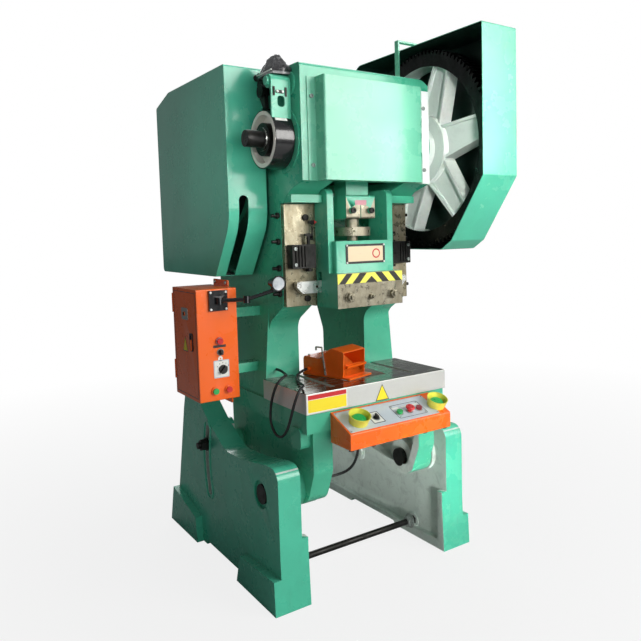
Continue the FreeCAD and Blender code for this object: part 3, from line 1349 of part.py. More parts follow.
def desk_hole(body, x, stem):
    """Round hole square to the sloping panel, a running gap wider than the stem in it."""
    across, y, z = desk_point(x, DESK_ROW, -8)
    sketch = sketch_on(body, "XY")
    turn = desk_turn()
    sketch.AttachmentOffset = Placement(Vector(float(across), float(y), float(z)), turn)
    for axis, size in zip("xyz", (across, y, z)):
        bind(sketch, f"AttachmentOffset.Base.{axis}", size)
    draw_circle(sketch, 0, 0, stem + d.stem_gap)
    feature = body.newObject("PartDesign::Pocket", f"{body.Label}_hole")
    feature.Profile = sketch
    feature.Length = 14
    feature.Reversed = True
    cuts.append(feature)


def desk_body(label, x, lift=0.0):
    body = make_body(label)
    place(body, *desk_point(x, DESK_ROW, lift), desk_turn())
    return body


def make_palm_controls():
    """Flared collars and the large palm buttons inside them."""
    collars = []
    for x, hand in zip(PALM_X, ("left", "right")):
        collar = doc.addObject("PartDesign::Body", f"collar_{hand}")
        place(collar, *desk_point(x, DESK_ROW), desk_turn())
        revolve(collar, "XZ", [[(d.palm + 2, 0), (d.palm + 7, 0), (d.palm + 15, 37),
                                (d.palm + 12, 37), (d.palm + 4, 10), (d.palm + 2, 10)]], "V_Axis")
        collars.append(collar)
        button = desk_body(f"{hand}_palm_button", x, d.palm_travel)
        revolve(button, "XZ", [[(0, -18), (PALM_STEM, -18), (PALM_STEM, 0), (d.palm, 0), (d.palm, 13),
                                (d.palm - 6, 19), (0, 19)]], "V_Axis")
    group("palm_button_collars", collars)


def make_desk_buttons():
    flat = [(13, 0), (13, 9), (0, 9)]
    mushroom = [(10, 0), (10, 13), (19, 13), (19, 17), (15, 21), (0, 21)]
    for label, head in (("start_button", flat), ("stop_button", mushroom), ("reset_button", flat)):
        button = desk_body(label, DESK_X[label], 4)
        stem = [(0, -14), (DESK_STEM, -14), (DESK_STEM, 0)]
        revolve(button, "XZ", [stem + head], "V_Axis")
    knob = desk_body("console_selector", DESK_X["console_selector"], 0.3)
    pad(knob, "XY", (-12, 1), (0, 0, DESK_STEM))
    pad(knob, "XY", (0, 6), (0, 0, 13))
    pad(knob, "XY", (4, 18), rect(-4, 4, -13, 13, 3.6))


# ---------------------------------------------------------------- foot pedal
PEDAL_PIN = 5


def pedal_body(label, lift=0.0):
    body = make_body(label)
    top = d.table_top + d.bolster_thick
    return place(body, d.pedal_x, d.pedal_y, top + lift, Rotation(Vector(0, 0, 1), float(d.pedal_turn)))


def make_pedal_base():
    """Cast base with the switch housing at the back and the hood over the treadle."""
    body = pedal_body("pedal_base")
    long, wide = d.pedal_long / 2, d.pedal_wide / 2
    pad(body, "XY", (0, 7), rect(-wide, wide, -long, long, 8))
    housing = [(20, 5), (20, 72, 10), (long - 4, 82, 16), (long - 4, 5)]
    pad(body, "YZ", (-wide + 6, wide - 6), housing)
    hood = [
        (-long + 40, 5), (-long + 34, 112, 10), (-30, 124, 14), (18, 92, 24), (26, 60), (26, 5),
    ]
    pad(body, "YZ", (-wide + 4, wide - 4), hood)
    inside = [
        (-long, 7.1), (-long, 30), (-long + 20, 106), (-34, 118, 12), (12, 88, 20), (14, 60), (14, 7.1),
    ]
    pocket(body, "YZ", (-wide + 8, wide - 8), inside)
    pocket(body, "YZ", (-wide + 3, wide - 3), (4, 31, PEDAL_PIN + 0.1))
    pad(body, "YZ", (-wide - 8, -wide + 8), (100, 25, 9))
    return body


def make_pedal_treadle():
    """Treadle plate that tips on a pin at its back edge."""
    body = pedal_body("pedal_treadle")
    half = d.pedal_wide / 2 - 12
    side = [(8, 34), (8, 28), (-112, 44), (-116, 54), (-110, 56)]
    pad(body, "YZ", (-half, half), side)
    pad(body, "YZ", (-half, half), (4, 31, 8))
    pad(body, "YZ", (-half - 7, half + 7), (4, 31, PEDAL_PIN))
    return body


def make_pedal_hook():
    """Bent steel latch standing against the side of the hood."""
    body = pedal_body("pedal_hook")
    x = -d.pedal_wide / 2 - 1
    shank = [(-4, 7), (3, 7), (19, 122), (47, 122), (47, 110), (53, 110), (53, 128, 5), (15, 128, 5)]
    pad(body, "YZ", (x - 1, x + 5), shank)
    return body


# ---------------------------------------------------------------- lubricator and cables
def make_lubricator():
    body = make_body("lubricator")
    x0, x1, y0, y1 = -330, -252, -440, -275
    lower = rect(x0 + 20, x1, y0 + 6, y1 - 10, 14)
    pad(body, "XY", (d.head_top, d.head_top + 26), lower)
    upper = rect(x0 + 4, x1 - 8, y0, y1, 20)
    pad(body, "XY", (d.head_top + 8, d.head_top + 47), upper)
    return body


def tube_path(points, first_arc=0.45):
    """Straight runs joined by arcs as large as their two runs allow."""
    corners = [Vector(*point) for point in points]
    edges = []
    start = corners[0]
    for before, corner, after in zip(corners, corners[1:], corners[2:]):
        back, ahead = (before - corner), (after - corner)
        half = back.getAngle(ahead) / 2
        room = first_arc * min(back.Length, ahead.Length)
        radius = room * math.tan(half)
        back.normalize()
        ahead.normalize()
        enter, leave = corner + back * room, corner + ahead * room
        middle = corner + (back + ahead).normalize() * (radius / math.sin(half) - radius)
        edges.append(Part.LineSegment(start, enter).toShape())
        edges.append(Part.Arc(enter, middle, leave).toShape())
        start = leave
    edges.append(Part.LineSegment(start, corners[-1]).toShape())
    return Part.Wire(edges)


def make_cable(label, radius, points):
    wire = tube_path(points)
    start, ahead = Vector(*points[0]), Vector(*points[1]) - Vector(*points[0])
    ring = Part.Wire(Part.Circle(start, ahead, float(radius)).toShape())
    shell = wire.makePipeShell([ring], True, False)
    cable = doc.addObject("Part::Feature", label)
    cable.Shape = shell
    volume = math.pi * float(radius) ** 2 * wire.Length
    if abs(shell.Volume / volume - 1) > 0.01:
        raise ValueError(f"{label} volume {shell.Volume} expected {volume}")
    return node(cable)


PEDAL_CORD = [
    (-168.2, -219, 862), (-194, -227, 860), (-226, -244, 850), (-252, -280, 845), (-272, -328, 845),
    (-290, -380, 846), (-304, -428, 849), (-324, -470, 858), (-356, -490, 848), (-375, -484, 800),
    (-378, -458, 738), (-376, -420, 676), (-373, -366, 634), (-371, -306, 634), (-371, -266, 676),
    (-371, -272, 738), (-373, -300, 796), (-368, -330, 848), (-334, -328, 872), (-302, -292, 866),
    (-287, -246, 864), (-284, -206, 870), (-284, -168, 870),
]
DESK_CORD = [
    (-150, -523, 670), (-150, -562, 670), (-149, -581, 622), (-146, -566, 570), (-146, -538, 522),
    (-158, -504, 488), (-188, -480, 474), (-220, -480, 474),
]


make_leg("left_leg", -1)
make_leg("right_leg", 1)
make_tie_rods()
make_pivot_shafts()
make_clamp_bolts()
make_press_frame()
make_bolster()
make_front_cover()
make_crank_bushes()
make_gib("left_gib", -1)
make_gib("right_gib", 1)
make_gib_screws()
make_knockout_stop("left_knockout_stop", -1)
make_knockout_stop("right_knockout_stop", 1)
make_crankshaft()
make_brake_drum()
make_brake_band()
make_brake_anchor()
make_brake_strap()
make_brake_lever()
make_main_gear()
make_drive_shaft()
make_flywheel()
make_motor_pulley()
make_drive_belts()
make_shaft_bearings()
make_motor()
make_motor_mount()
make_connecting_rod()
make_ball_screw()
make_ram()
make_shank_clamp()
make_knockout_bar()
make_gear_guard()
make_guard_bracket()
make_flywheel_guard()
make_control_box()
make_control_box_door()
make_box_brackets()
make_knob("rotary_switch_knob", -543, 913, 18, 34, 11, -40)
make_knob("selector_knob", -551, 983, 11, 20, 7, 20)
make_push_button("green_button", -578, 829)
make_push_button("red_button", -522, 829)
make_indicator_lamp()
make_work_lamp()
make_console()
make_palm_controls()
make_desk_buttons()
make_pedal_base()
make_pedal_treadle()
make_pedal_hook()
make_lubricator()
make_cable("pedal_cable", d.pedal_cord, PEDAL_CORD)
make_cable("console_cable", d.desk_cord, DESK_CORD)

# ---------------------------------------------------------------- checking and writing
doc.recompute()
for item in doc.Objects:
    if "Invalid" in item.State or "Error" in item.State:
        raise ValueError(f"{item.Name} could not be built: {item.State}")
    if hasattr(item, "Shape") and item in nodes and (item.Shape.isNull() or not item.Shape.isValid()):
        raise ValueError(f"{item.Name} has no valid shape")
for cut in cuts:
    if cut.BaseFeature and cut.Shape.Volume > cut.BaseFeature.Shape.Volume - 0.5:
        raise ValueError(f"{cut.Name} takes nothing away")
os.makedirs("parts", exist_ok=True)
for item in nodes:
    item.Shape.exportStep(f"parts/{item.Label}.step")
print(len(nodes), "pieces written")
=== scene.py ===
import json
from math import acos, cos, hypot, pi, radians, sin

import bmesh
import bpy
from mathutils import Matrix, Vector, noise

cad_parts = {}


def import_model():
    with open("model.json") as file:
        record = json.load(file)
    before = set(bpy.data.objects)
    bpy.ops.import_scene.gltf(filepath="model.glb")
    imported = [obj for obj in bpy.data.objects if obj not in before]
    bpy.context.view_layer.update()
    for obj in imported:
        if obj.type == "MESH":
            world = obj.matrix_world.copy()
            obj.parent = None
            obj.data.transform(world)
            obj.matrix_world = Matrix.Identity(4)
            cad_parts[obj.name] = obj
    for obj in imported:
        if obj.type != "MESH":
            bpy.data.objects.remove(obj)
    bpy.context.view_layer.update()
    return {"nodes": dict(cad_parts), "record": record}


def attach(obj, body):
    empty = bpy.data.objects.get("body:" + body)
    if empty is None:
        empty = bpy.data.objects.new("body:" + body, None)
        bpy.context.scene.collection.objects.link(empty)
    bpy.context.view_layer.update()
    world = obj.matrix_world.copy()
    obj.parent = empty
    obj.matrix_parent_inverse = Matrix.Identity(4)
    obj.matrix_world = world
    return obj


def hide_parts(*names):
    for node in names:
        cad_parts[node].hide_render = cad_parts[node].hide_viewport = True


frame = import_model()
nodes = frame["nodes"]
body_of = {n: b for b, members in frame["record"]["behaviour"]["bodies"].items() for n in members}

MM = 0.001

# directions, and axes that run across the press, as (back, up) in millimetres
FRONT, BACK, LEFT, RIGHT, UP = (0, -1, 0), (0, 1, 0), (-1, 0, 0), (1, 0, 0), (0, 0, 1)
CRANK, CRANK_PIN, BACK_SHAFT, PIVOT = (-350, 1810), (-350, 1850), (145, 1775), (-350, 422)


# ---------------------------------------------------------------- colours and materials
def rgb(r, g, b):
    """A colour given as it looks on a screen, 0 to 255, as linear light."""
    out = []
    for value in (r, g, b):
        c = value / 255
        out.append(c / 12.92 if c <= 0.04045 else ((c + 0.055) / 1.055) ** 2.4)
    return (*out, 1.0)


class Nodes:
    """A node tree being put together."""

    def __init__(self, tree):
        self.tree = tree

    def link(self, a, b):
        self.tree.links.new(a, b)

    def node(self, kind, inputs=None, **props):
        """A node; each input given is linked where its value is an output, or else set."""
        item = self.tree.nodes.new(kind)
        for key, value in props.items():
            setattr(item, key, value)
        for key, value in (inputs or {}).items():
            if isinstance(value, bpy.types.NodeSocket):
                self.link(value, item.inputs[key])
            else:
                item.inputs[key].default_value = value
        return item

    def math(self, kind, a, b=0.0, c=0.0):
        return self.node("ShaderNodeMath", {0: a, 1: b, 2: c}, operation=kind).outputs[0]

    def blend(self, share, a, b):
        """Two shaders mixed by a share."""
        return self.node("ShaderNodeMixShader", {0: share, 1: a.outputs[0], 2: b.outputs[0]}).outputs[0]


class Look(Nodes):
    """A material being put together out of nodes."""

    def __init__(self, name, base, rough=0.4, metal=0.0, **extra):
        self.mat = bpy.data.materials.new(name)
        self.mat.use_nodes = True
        super().__init__(self.mat.node_tree)
        self.shader = self.tree.nodes["Principled BSDF"]
        for key, value in {"Base Color": base, "Roughness": rough, "Metallic": metal, **extra}.items():
            self.shader.inputs[key.replace("_", " ")].default_value = value
        self.coords = self.node("ShaderNodeTexCoord").outputs["Object"]

    def put(self, socket, output):
        self.link(output, self.shader.inputs[socket])

    def noise(self, scale, detail=3.0, rough=0.5, stretch=(1, 1, 1), distort=0.0):
        where = self.node("ShaderNodeMapping", {"Vector": self.coords, "Scale": stretch})
        return self.node("ShaderNodeTexNoise", {
            "Vector": where.outputs[0], "Scale": scale, "Detail": detail, "Roughness": rough,
            "Distortion": distort}).outputs["Fac"]

    def ramp(self, fac, *stops):
        item = self.node("ShaderNodeValToRGB", {"Fac": fac})
        ramp = item.color_ramp
        while len(ramp.elements) < len(stops):
            ramp.elements.new(0.5)
        for element, (place, colour) in zip(ramp.elements, stops):
            element.position = place
            element.color = colour if hasattr(colour, "__len__") else (colour, colour, colour, 1)
        return item.outputs["Color"]

    def mix(self, share, a, b):
        return self.node("ShaderNodeMix", {0: share, 6: a, 7: b}, data_type="RGBA").outputs[2]

    def normal(self):
        return self.node("ShaderNodeNewGeometry").outputs["Normal"]

    def upward(self, vector):
        return self.node("ShaderNodeSeparateXYZ", {0: vector}).outputs["Z"]

    def bump(self, height, strength, distance):
        item = self.node("ShaderNodeBump", {"Strength": strength, "Distance": distance, "Height": height})
        self.put("Normal", item.outputs[0])

    def edges(self, radius):
        """1 along an edge of the mesh, 0 away from it."""
        bevel = self.node("ShaderNodeBevel", {"Radius": radius}, samples=4)
        normals = {0: bevel.outputs[0], 1: self.normal()}
        dot = self.node("ShaderNodeVectorMath", normals, operation="DOT_PRODUCT")
        return self.ramp(dot.outputs["Value"], (0.86, 1.0), (0.985, 0.0))


def shade(colour, factor):
    return (*[min(1.0, c * factor) for c in colour[:3]], 1.0)


def enamel(name, colour, rough=0.3, dirt=0.3, cast=0.0, wear=0.25):
    """Glossy machine paint: uneven colour, dust, faint brush waves, worn and thin along the edges."""
    look = Look(name, colour, rough, Coat_Weight=0.22, Coat_Roughness=0.12)
    broad = look.noise(2.6, 4, 0.55)
    colours = look.ramp(broad, (0.3, shade(colour, 0.86)), (0.55, colour), (0.75, shade(colour, 1.07)))
    fine = look.noise(19, 6, 0.7, distort=0.6)
    grime = look.ramp(fine, (0.5, 0.0), (0.78, dirt))
    colours = look.mix(grime, colours, shade(colour, 0.42))
    edge = look.math("MULTIPLY", look.edges(0.0035), look.noise(60, 5, 0.75))
    worn = look.ramp(edge, (0.36, 0.0), (0.62, wear))
    colours = look.mix(worn, colours, rgb(70, 72, 66))
    look.put("Base Color", colours)
    look.put("Roughness", look.ramp(look.noise(7, 5, 0.6), (0.3, rough * 0.75), (0.72, rough * 1.5)))
    ripple = look.math("MULTIPLY", look.noise(170, 2), 0.12)
    waves = look.math("ADD", look.noise(9 if cast else 3.2, 3), ripple)
    look.bump(waves, 0.25 + cast, 0.0016 if cast else 0.0009)
    return look.mat


def steel(name, colour, rough=0.32, grain=(1, 1, 1), film=None, amount=0.0, scale=14):
    """Machined metal with tool marks along one direction and, where there is any, a film of oil."""
    look = Look(name, colour, rough, 1.0)
    marks = look.noise(scale * 9, 4, 0.7, grain)
    tone = look.ramp(marks, (0.3, shade(colour, 0.72)), (0.7, shade(colour, 1.15)))
    if film:
        patches = look.noise(scale, 6, 0.72, (1, 1, 0.45), 0.8)
        cover = look.ramp(patches, (0.36, amount * 0.35), (0.62, amount))
        tone = look.mix(cover, tone, film)
        look.put("Metallic", look.ramp(patches, (0.36, 0.9), (0.66, 0.35)))
    look.put("Base Color", tone)
    look.put("Roughness", look.ramp(look.noise(scale * 2.2, 5, 0.6), (0.3, rough * 0.6), (0.7, rough * 1.5)))
    look.bump(marks, 0.25, 0.0004)
    return look.mat


def plastic(name, colour, rough=0.35, coat=0.0):
    look = Look(name, colour, rough, Coat_Weight=coat)
    tone = look.ramp(look.noise(24, 4), (0.3, shade(colour, 0.85)), (0.7, shade(colour, 1.1)))
    look.put("Base Color", tone)
    look.put("Roughness", look.ramp(look.noise(90, 4), (0.3, rough * 0.8), (0.7, rough * 1.3)))
    look.bump(look.noise(700, 2), 0.15, 0.0003)
    return look.mat


def flat_field(name, colour, rough=0.45):
    """Printed film or card: nearly even, a little scuffed."""
    look = Look(name, colour, rough)
    scuffs = look.ramp(look.noise(45, 6, 0.75), (0.55, 0.0), (0.8, 0.35))
    look.put("Base Color", look.mix(scuffs, colour, shade(colour, 0.7)))
    look.bump(look.noise(30, 3), 0.15, 0.0004)
    return look.mat


M = {
    "cast": enamel("green_cast_paint", rgb(78, 190, 154), 0.3, 0.32, cast=0.25),
    "sheet": enamel("green_sheet_paint", rgb(84, 196, 162), 0.22, 0.12, wear=0.35),
    # painted reflection: the cover's green is made lighter than the frame's for the sky reflected in its
    # gloss
    "cover": enamel("green_cover_paint_with_painted_reflection", rgb(112, 200, 166), 0.26, 0.08, wear=0.3),
    "upright": enamel("green_frame_paint", rgb(74, 184, 148), 0.27, 0.22, cast=0.2),
    # painted highlight: the cover's right flange is painted near white for the glare on it
    "strip": enamel("white_painted_highlight_strip", rgb(250, 252, 250), 0.3, 0.1, wear=0.2),
    "leg": enamel("green_leg_paint", rgb(78, 194, 160), 0.25, 0.2, cast=0.2),
    "inner": enamel("grey_inner_paint", rgb(212, 224, 216), 0.42, 0.6, cast=0.3, wear=0.1),
    # painted shade: the leg's web, at the back of its hollow, is painted a darker grey for the shade there
    "web_shade": enamel("grey_web_painted_shade", rgb(150, 168, 161), 0.5, 0.7, cast=0.3, wear=0.1),
    # painted light: the gear's light grey paint is made near white for light that the guard keeps off it
    "gear": enamel("light_grey_gear_paint_and_painted_light", rgb(240, 248, 242), 0.38, 0.2, cast=0.25, wear=0.1),
    # painted light: the drum's pale face is made whiter so that it looks lit though it faces away from the
    # lamps
    "drum": enamel("pale_drum_face_and_painted_light", rgb(244, 240, 230), 0.4, 0.25, cast=0.1, wear=0.2),
    # painted shade: the insides of the guards are painted dark for the shade in them
    "hollow": enamel("painted_shade_guard_inside", rgb(34, 58, 50), 0.4, 0.3),
    "orange": enamel("orange_sheet_paint", rgb(255, 104, 6), 0.26, 0.06, wear=0.3),
    "pedal": enamel("orange_cast_paint", rgb(250, 106, 12), 0.34, 0.25, cast=0.2, wear=0.3),
    "bright": steel("ground_steel", rgb(216, 218, 214), 0.3, (1, 1, 14)),
    "turned": steel("turned_steel", rgb(176, 178, 172), 0.26, (14, 1, 1)),
    "greased": steel("greased_steel", rgb(176, 172, 152), 0.32, (1, 1, 0.2), rgb(126, 114, 84), 0.85, 22),
    "oily": steel("oily_steel", rgb(176, 172, 154), 0.34, (1, 1, 1), rgb(124, 114, 90), 0.7, 24),
    "black": steel("blackened_steel", rgb(40, 40, 38), 0.42, (1, 1, 1), rgb(24, 22, 20), 0.6),
    "zinc": steel("zinc_steel", rgb(182, 190, 186), 0.36, (1, 1, 1), rgb(120, 124, 120), 0.35),
    "bronze": steel("bearing_bronze", rgb(178, 138, 78), 0.36, (8, 1, 1)),
    "grime": steel("dark_greased_teeth", rgb(36, 38, 36), 0.38, (1, 1, 1), rgb(12, 14, 13), 0.9, 24),
    "rubber": plastic("black_rubber", rgb(30, 31, 32), 0.55),
    "dull": plastic("black_plastic", rgb(26, 26, 27), 0.4),
    "shiny": plastic("black_enamel", rgb(22, 22, 24), 0.22, 0.5),
    "green_button": plastic("green_button_plastic", rgb(38, 178, 88), 0.3, 0.3),
    "red_button": plastic("red_button_plastic", rgb(214, 34, 40), 0.28, 0.4),
    "dark_red": plastic("dark_red_plastic", rgb(140, 26, 40), 0.3, 0.4),
    "yellow": plastic("yellow_plastic", rgb(240, 232, 84), 0.34, 0.3),
    "white": flat_field("white_print", rgb(236, 236, 230)),
    "panel": flat_field("grey_panel_film", rgb(196, 206, 214), 0.32),
    "beige": flat_field("beige_print", rgb(236, 214, 178), 0.35),
    "red": flat_field("red_print", rgb(206, 36, 40)),
    "label": flat_field("yellow_print", rgb(250, 226, 40)),
    "hazard": flat_field("hazard_yellow", rgb(250, 246, 96)),
    "hazard_black": flat_field("hazard_black", rgb(22, 20, 18)),
    "pink": flat_field("faded_pink_print", rgb(214, 150, 160)),
    "line": flat_field("dark_line_print", rgb(60, 66, 72)),
}


def lens_glass():
    """Frosted lens with faint rings."""
    look = Look("lamp_lens", rgb(240, 246, 250), 0.08, Transmission_Weight=0.25, Coat_Weight=0.6)
    look.bump(look.noise(160, 2), 0.5, 0.002)
    look.put("Base Color", look.ramp(look.noise(60, 3), (0.3, rgb(206, 216, 224)), (0.7, rgb(248, 250, 252))))
    return look.mat


def wrapped_film():
    """Crumpled dark film, bumped along its creases, with painted highlights on the creases and a pale painted
    highlight along its lower edge.
    """
    look = Look("crumpled_film", rgb(70, 70, 76), 0.16, Coat_Weight=0.8, Coat_Roughness=0.08)
    height = look.upward(look.coords)
    # painted highlight: paler towards the bottom edge
    pale_highlight = look.ramp(look.math("MULTIPLY_ADD", height, 40.0, -82.1), (0.0, 0.6), (0.26, 0.0))
    creases = look.noise(55, 7, 0.72, distort=1.6)
    # painted highlights: the top stop lights up the crests of the creases
    dark = look.ramp(creases, (0.4, rgb(10, 10, 13)), (0.62, rgb(26, 24, 32)), (0.72, rgb(104, 98, 116)))
    look.put("Base Color", look.mix(pale_highlight, dark, rgb(206, 208, 208)))
    look.bump(creases, 0.9, 0.006)
    return look.mat


def oiled_top():
    """Ground plate under a dark oily film, with lighter streaks across it painted as highlights."""
    look = Look("oiled_bolster", rgb(206, 208, 204), 0.3, 0.85)
    up = look.ramp(look.upward(look.normal()), (0.6, 0.0), (0.8, 1.0))
    streaks = look.noise(7, 7, 0.68, (0.35, 2.6, 1), 1.4)
    # painted highlights: the lighter stop in the film's streaks
    film = look.ramp(streaks, (0.32, rgb(34, 38, 32)), (0.5, rgb(72, 76, 64)), (0.6, rgb(118, 124, 112)),
                     (0.72, rgb(46, 52, 44)))
    marks = look.noise(140, 4, 0.7, (1, 1, 16))
    side = look.ramp(marks, (0.3, rgb(196, 198, 194)), (0.7, rgb(232, 232, 228)))
    look.put("Base Color", look.mix(up, side, film))
    dry, wet = look.ramp(marks, (0.3, 0.3), (0.7, 0.48)), look.ramp(streaks, (0.35, 0.08), (0.65, 0.36))
    look.put("Roughness", look.mix(up, dry, wet))
    look.put("Metallic", look.mix(up, (0.55, 0.55, 0.55, 1), (0.7, 0.7, 0.7, 1)))
    look.bump(look.math("ADD", streaks, look.math("MULTIPLY", look.noise(40, 5, 0.7), 0.4)), 0.3, 0.002)
    return look.mat


M.update(lens=lens_glass(), film=wrapped_film(), bolster=oiled_top())


# ---------------------------------------------------------------- building meshes, in millimetres
def rect(x0, x1, y0, y1):
    return [(x0, y0), (x1, y0), (x1, y1), (x0, y1)]


class Shape:
    """A piece under construction."""

    def __init__(self):
        self.bm = bmesh.new()
        self.index = 0

    def paint(self, index):
        """What is added from now on takes this material of the piece's list."""
        self.index = index
        return self

    def face(self, verts):
        try:
            made = self.bm.faces.new(verts)
        except ValueError:
            return
        made.material_index = self.index

    def ring(self, centre, radius, side, other, count, turn=0.0):
        """Vertices evenly round a centre."""
        angles = [2 * pi * i / count + turn for i in range(count)]
        return [self.bm.verts.new(centre + radius * (cos(a) * side + sin(a) * other)) for a in angles]

    def turned(self, place, axis, radius, reach, count, turn=0.0):
        """Such a ring square to an axis, some way along it."""
        along = Vector(axis).normalized()
        side = along.orthogonal().normalized()
        return self.ring(Vector(place) + along * reach, radius, side, along.cross(side), count, turn)

    def skin(self, rings, ends=False):
        """Faces from each ring of vertices to the next; a ring of one vertex is a tip."""
        for a, b in zip(rings, rings[1:]):
            count = max(len(a), len(b))
            for i in range(count):
                j = (i + 1) % count
                corners = ([a[i], a[j]] if len(a) > 1 else a) + ([b[j], b[i]] if len(b) > 1 else b)
                if len(corners) > 2:
                    self.face(corners)
        if ends:
            self.face(rings[0][::-1])
            self.face(rings[-1])
        return self

    def prism(self, points, plane, low, high, turn=None):
        """An outline in a plane, carried along the plane's normal."""
        def spot(a, b, c):
            place = Vector({"XY": (a, b, c), "XZ": (a, c, b), "YZ": (c, a, b)}[plane])
            return turn @ place if turn else place
        lower, upper = ([self.bm.verts.new(spot(a, b, c)) for a, b in points] for c in (low, high))
        self.face(lower[::-1])
        self.face(upper)
        return self.skin([lower, upper])

    def box(self, x, y, z):
        return self.prism(rect(*x, *y), "XY", *z)

    def lathe(self, profile, place, axis, segments=40):
        """Turns (radius, distance along the axis) pairs round the axis."""
        return self.skin([self.turned(place, axis, radius, reach, segments if radius else 1)
                          for radius, reach in profile])

    def hexagon(self, radius, low, high, place, axis, turn=0.0):
        """Six-sided head whose outer corners are turned off."""
        levels = (1, low), (1, high - 0.14 * (high - low)), (0.88, high)
        return self.skin([self.turned(place, axis, radius * share, reach, 6, turn)
                          for share, reach in levels], True)

    def cap_screw(self, radius, height, place, axis, socket=True):
        """Round-headed screw with a socket, or with a slight crown."""
        rim = [(0, 0), (radius, 0), (radius, height * 0.82), (radius * 0.9, height)]
        if socket:
            rim += [(radius * 0.56, height), (radius * 0.5, height * 0.42), (0, height * 0.42)]
        else:
            rim += [(0, height * 1.08)]
        return self.lathe(rim, place, axis, 20)

    def pierced(self, outer, holes, low, high, turn):
        """A flat sheet with holes, between two levels of a turned frame."""
        levels = ([], [])
        for loop in [outer] + holes:
            rings = [[self.bm.verts.new(turn @ Vector((a, b, level))) for a, b in loop]
                     for level in (low, high)]
            self.skin(rings)
            for ring, edges in zip(rings, levels):
                edges += [self.bm.edges.get(pair) for pair in zip(ring, ring[1:] + ring[:1])]
        for edges in levels:
            made = bmesh.ops.triangle_fill(self.bm, use_beauty=True, edges=edges)
            for item in made["geom"]:
                if isinstance(item, bmesh.types.BMFace):
                    item.material_index = self.index
        return self

    def tube(self, points, radius, segments=12):
        """Round bar through points."""
        points = [Vector(p) for p in points]
        rings, side = [], None
        for i, point in enumerate(points):
            ahead = points[min(i + 1, len(points) - 1)] - points[max(i - 1, 0)]
            ahead.normalize()
            side = ahead.orthogonal() if side is None else side - ahead * side.dot(ahead)
            side.normalize()
            rings.append(self.ring(point, radius, side, ahead.cross(side), segments))
        return self.skin(rings, True)

    def done(self, name, looks, body, slot, bevel=0.0, angle=35):
        """Turns what was built into a piece that rides on a body."""
        bmesh.ops.recalc_face_normals(self.bm, faces=self.bm.faces)
        self.bm.transform(Matrix.Scale(MM, 4))
        return finished(self.bm, name, looks, body, bevel, angle)


def placed(name, data):
    """A new object of the scene round a mesh, curve, lamp or camera."""
    item = bpy.data.objects.new(name, data)
    bpy.context.scene.collection.objects.link(item)
    return item


def finished(bm, name, looks, body, bevel, angle):
    """A smooth piece with broken edges that rides on a body, from a mesh in metres."""
    mesh = bpy.data.meshes.new(name)
    bm.to_mesh(mesh)
    bm.free()
    piece = placed(name, mesh)
    for look in [looks] if isinstance(looks, str) else looks:
        mesh.materials.append(M[look])
    for polygon in mesh.polygons:
        polygon.use_smooth = True
    if bevel:
        item = piece.modifiers.new("edge", "BEVEL")
        item.width = bevel * MM
        item.segments = 2
        item.angle_limit = radians(angle)
        item.harden_normals = True
    mesh.set_sharp_from_angle(angle=radians(angle))
    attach(piece, body)
    return piece


def refine(name, looks, bevel=0.0, choose=None, angle=32):
    """The CAD piece's own form with its facets joined, its edges broken and its paint masked."""
    bm = bmesh.new()
    bm.from_mesh(nodes[name].data)
    bmesh.ops.remove_doubles(bm, verts=bm.verts, dist=2e-6)
    if choose:
        for face in bm.faces:
            face.material_index = choose(face.calc_center_median() / MM, face.normal)
    bmesh.ops.dissolve_limit(bm, angle_limit=radians(0.6), verts=bm.verts, edges=bm.edges,
                             delimit={"MATERIAL"})
    piece = finished(bm, f"{name}_finished", looks, body_of[name], bevel, angle)
    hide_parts(name)


def inset(point, outline):
    """How far a point lies inside an outline; less than nothing outside it."""
    x, y = point
    nearest, inside = 1e9, False
    for (ax, ay), (bx, by) in zip(outline, outline[1:] + outline[:1]):
        dx, dy = bx - ax, by - ay
        t = max(0.0, min(1.0, ((x - ax) * dx + (y - ay) * dy) / (dx * dx + dy * dy)))
        nearest = min(nearest, hypot(x - ax - t * dx, y - ay - t * dy))
        if (ay > y) != (by > y) and x < ax + (y - ay) / (by - ay) * dx:
            inside = not inside
    return nearest if inside else -nearest


# ---------------------------------------------------------------- the CAD pieces
LEG = [(-515, 0), (-505, 210), (-505, 560), (-411, 556), (-198, 522), (-25, 513), (150, 597), (271, 680),
       (330, 735), (430, 735), (474, 609), (581, 209), (640, 0), (240, 0), (225, 18), (-135, 18), (-150, 0)]
LEG_WEB, LEG_WALL, LEG_FACE, LEG_RIM = 395, 452, 466, 12
PIVOT_BORE, PIVOT_BOSS = 41, 58


def from_axis(c, axis):
    """How far a point lies from an axis that runs across the press."""
    return hypot(c.y - axis[0], c.z - axis[1])


def leg_paint(side):
    """Green outside, grey in the hollow, darker grey on its web as painted shade, dark in the pivot's bore.
    """
    def choose(c, n):
        x, away = c.x * side, from_axis(c, PIVOT)
        if away < PIVOT_BOSS and n.x * side > -0.5 and x > LEG_WALL - 2:
            return 2 if away < PIVOT_BORE else 0
        if n.x * side < -0.5 and x < LEG_FACE:
            # painted shade on the web at the back of the hollow
            return 3 if x > LEG_WEB else 1
        return 1 if inset((c.y, c.z), LEG) > LEG_RIM and x < LEG_WALL else 0
    return choose


def frame_paint(c, n):
    """Grey inside and under the table, bright bores, green elsewhere."""
    table_bottom, plate_outside = 677, 306
    for axis, bore in ((CRANK, 71), (BACK_SHAFT, 53), (PIVOT, PIVOT_BORE)):
        if abs(from_axis(c, axis) - bore) < 2.5 and abs(n.x) < 0.3:
            return 2
    if c.z < table_bottom and abs(c.x) < plate_outside:
        outer_edge = abs(n.x) < 0.5 and (c.y < -430 and n.y < -0.2 or c.z < 452 and n.z < -0.3 or c.y > 200)
        return 0 if outer_edge else 1
    return 0


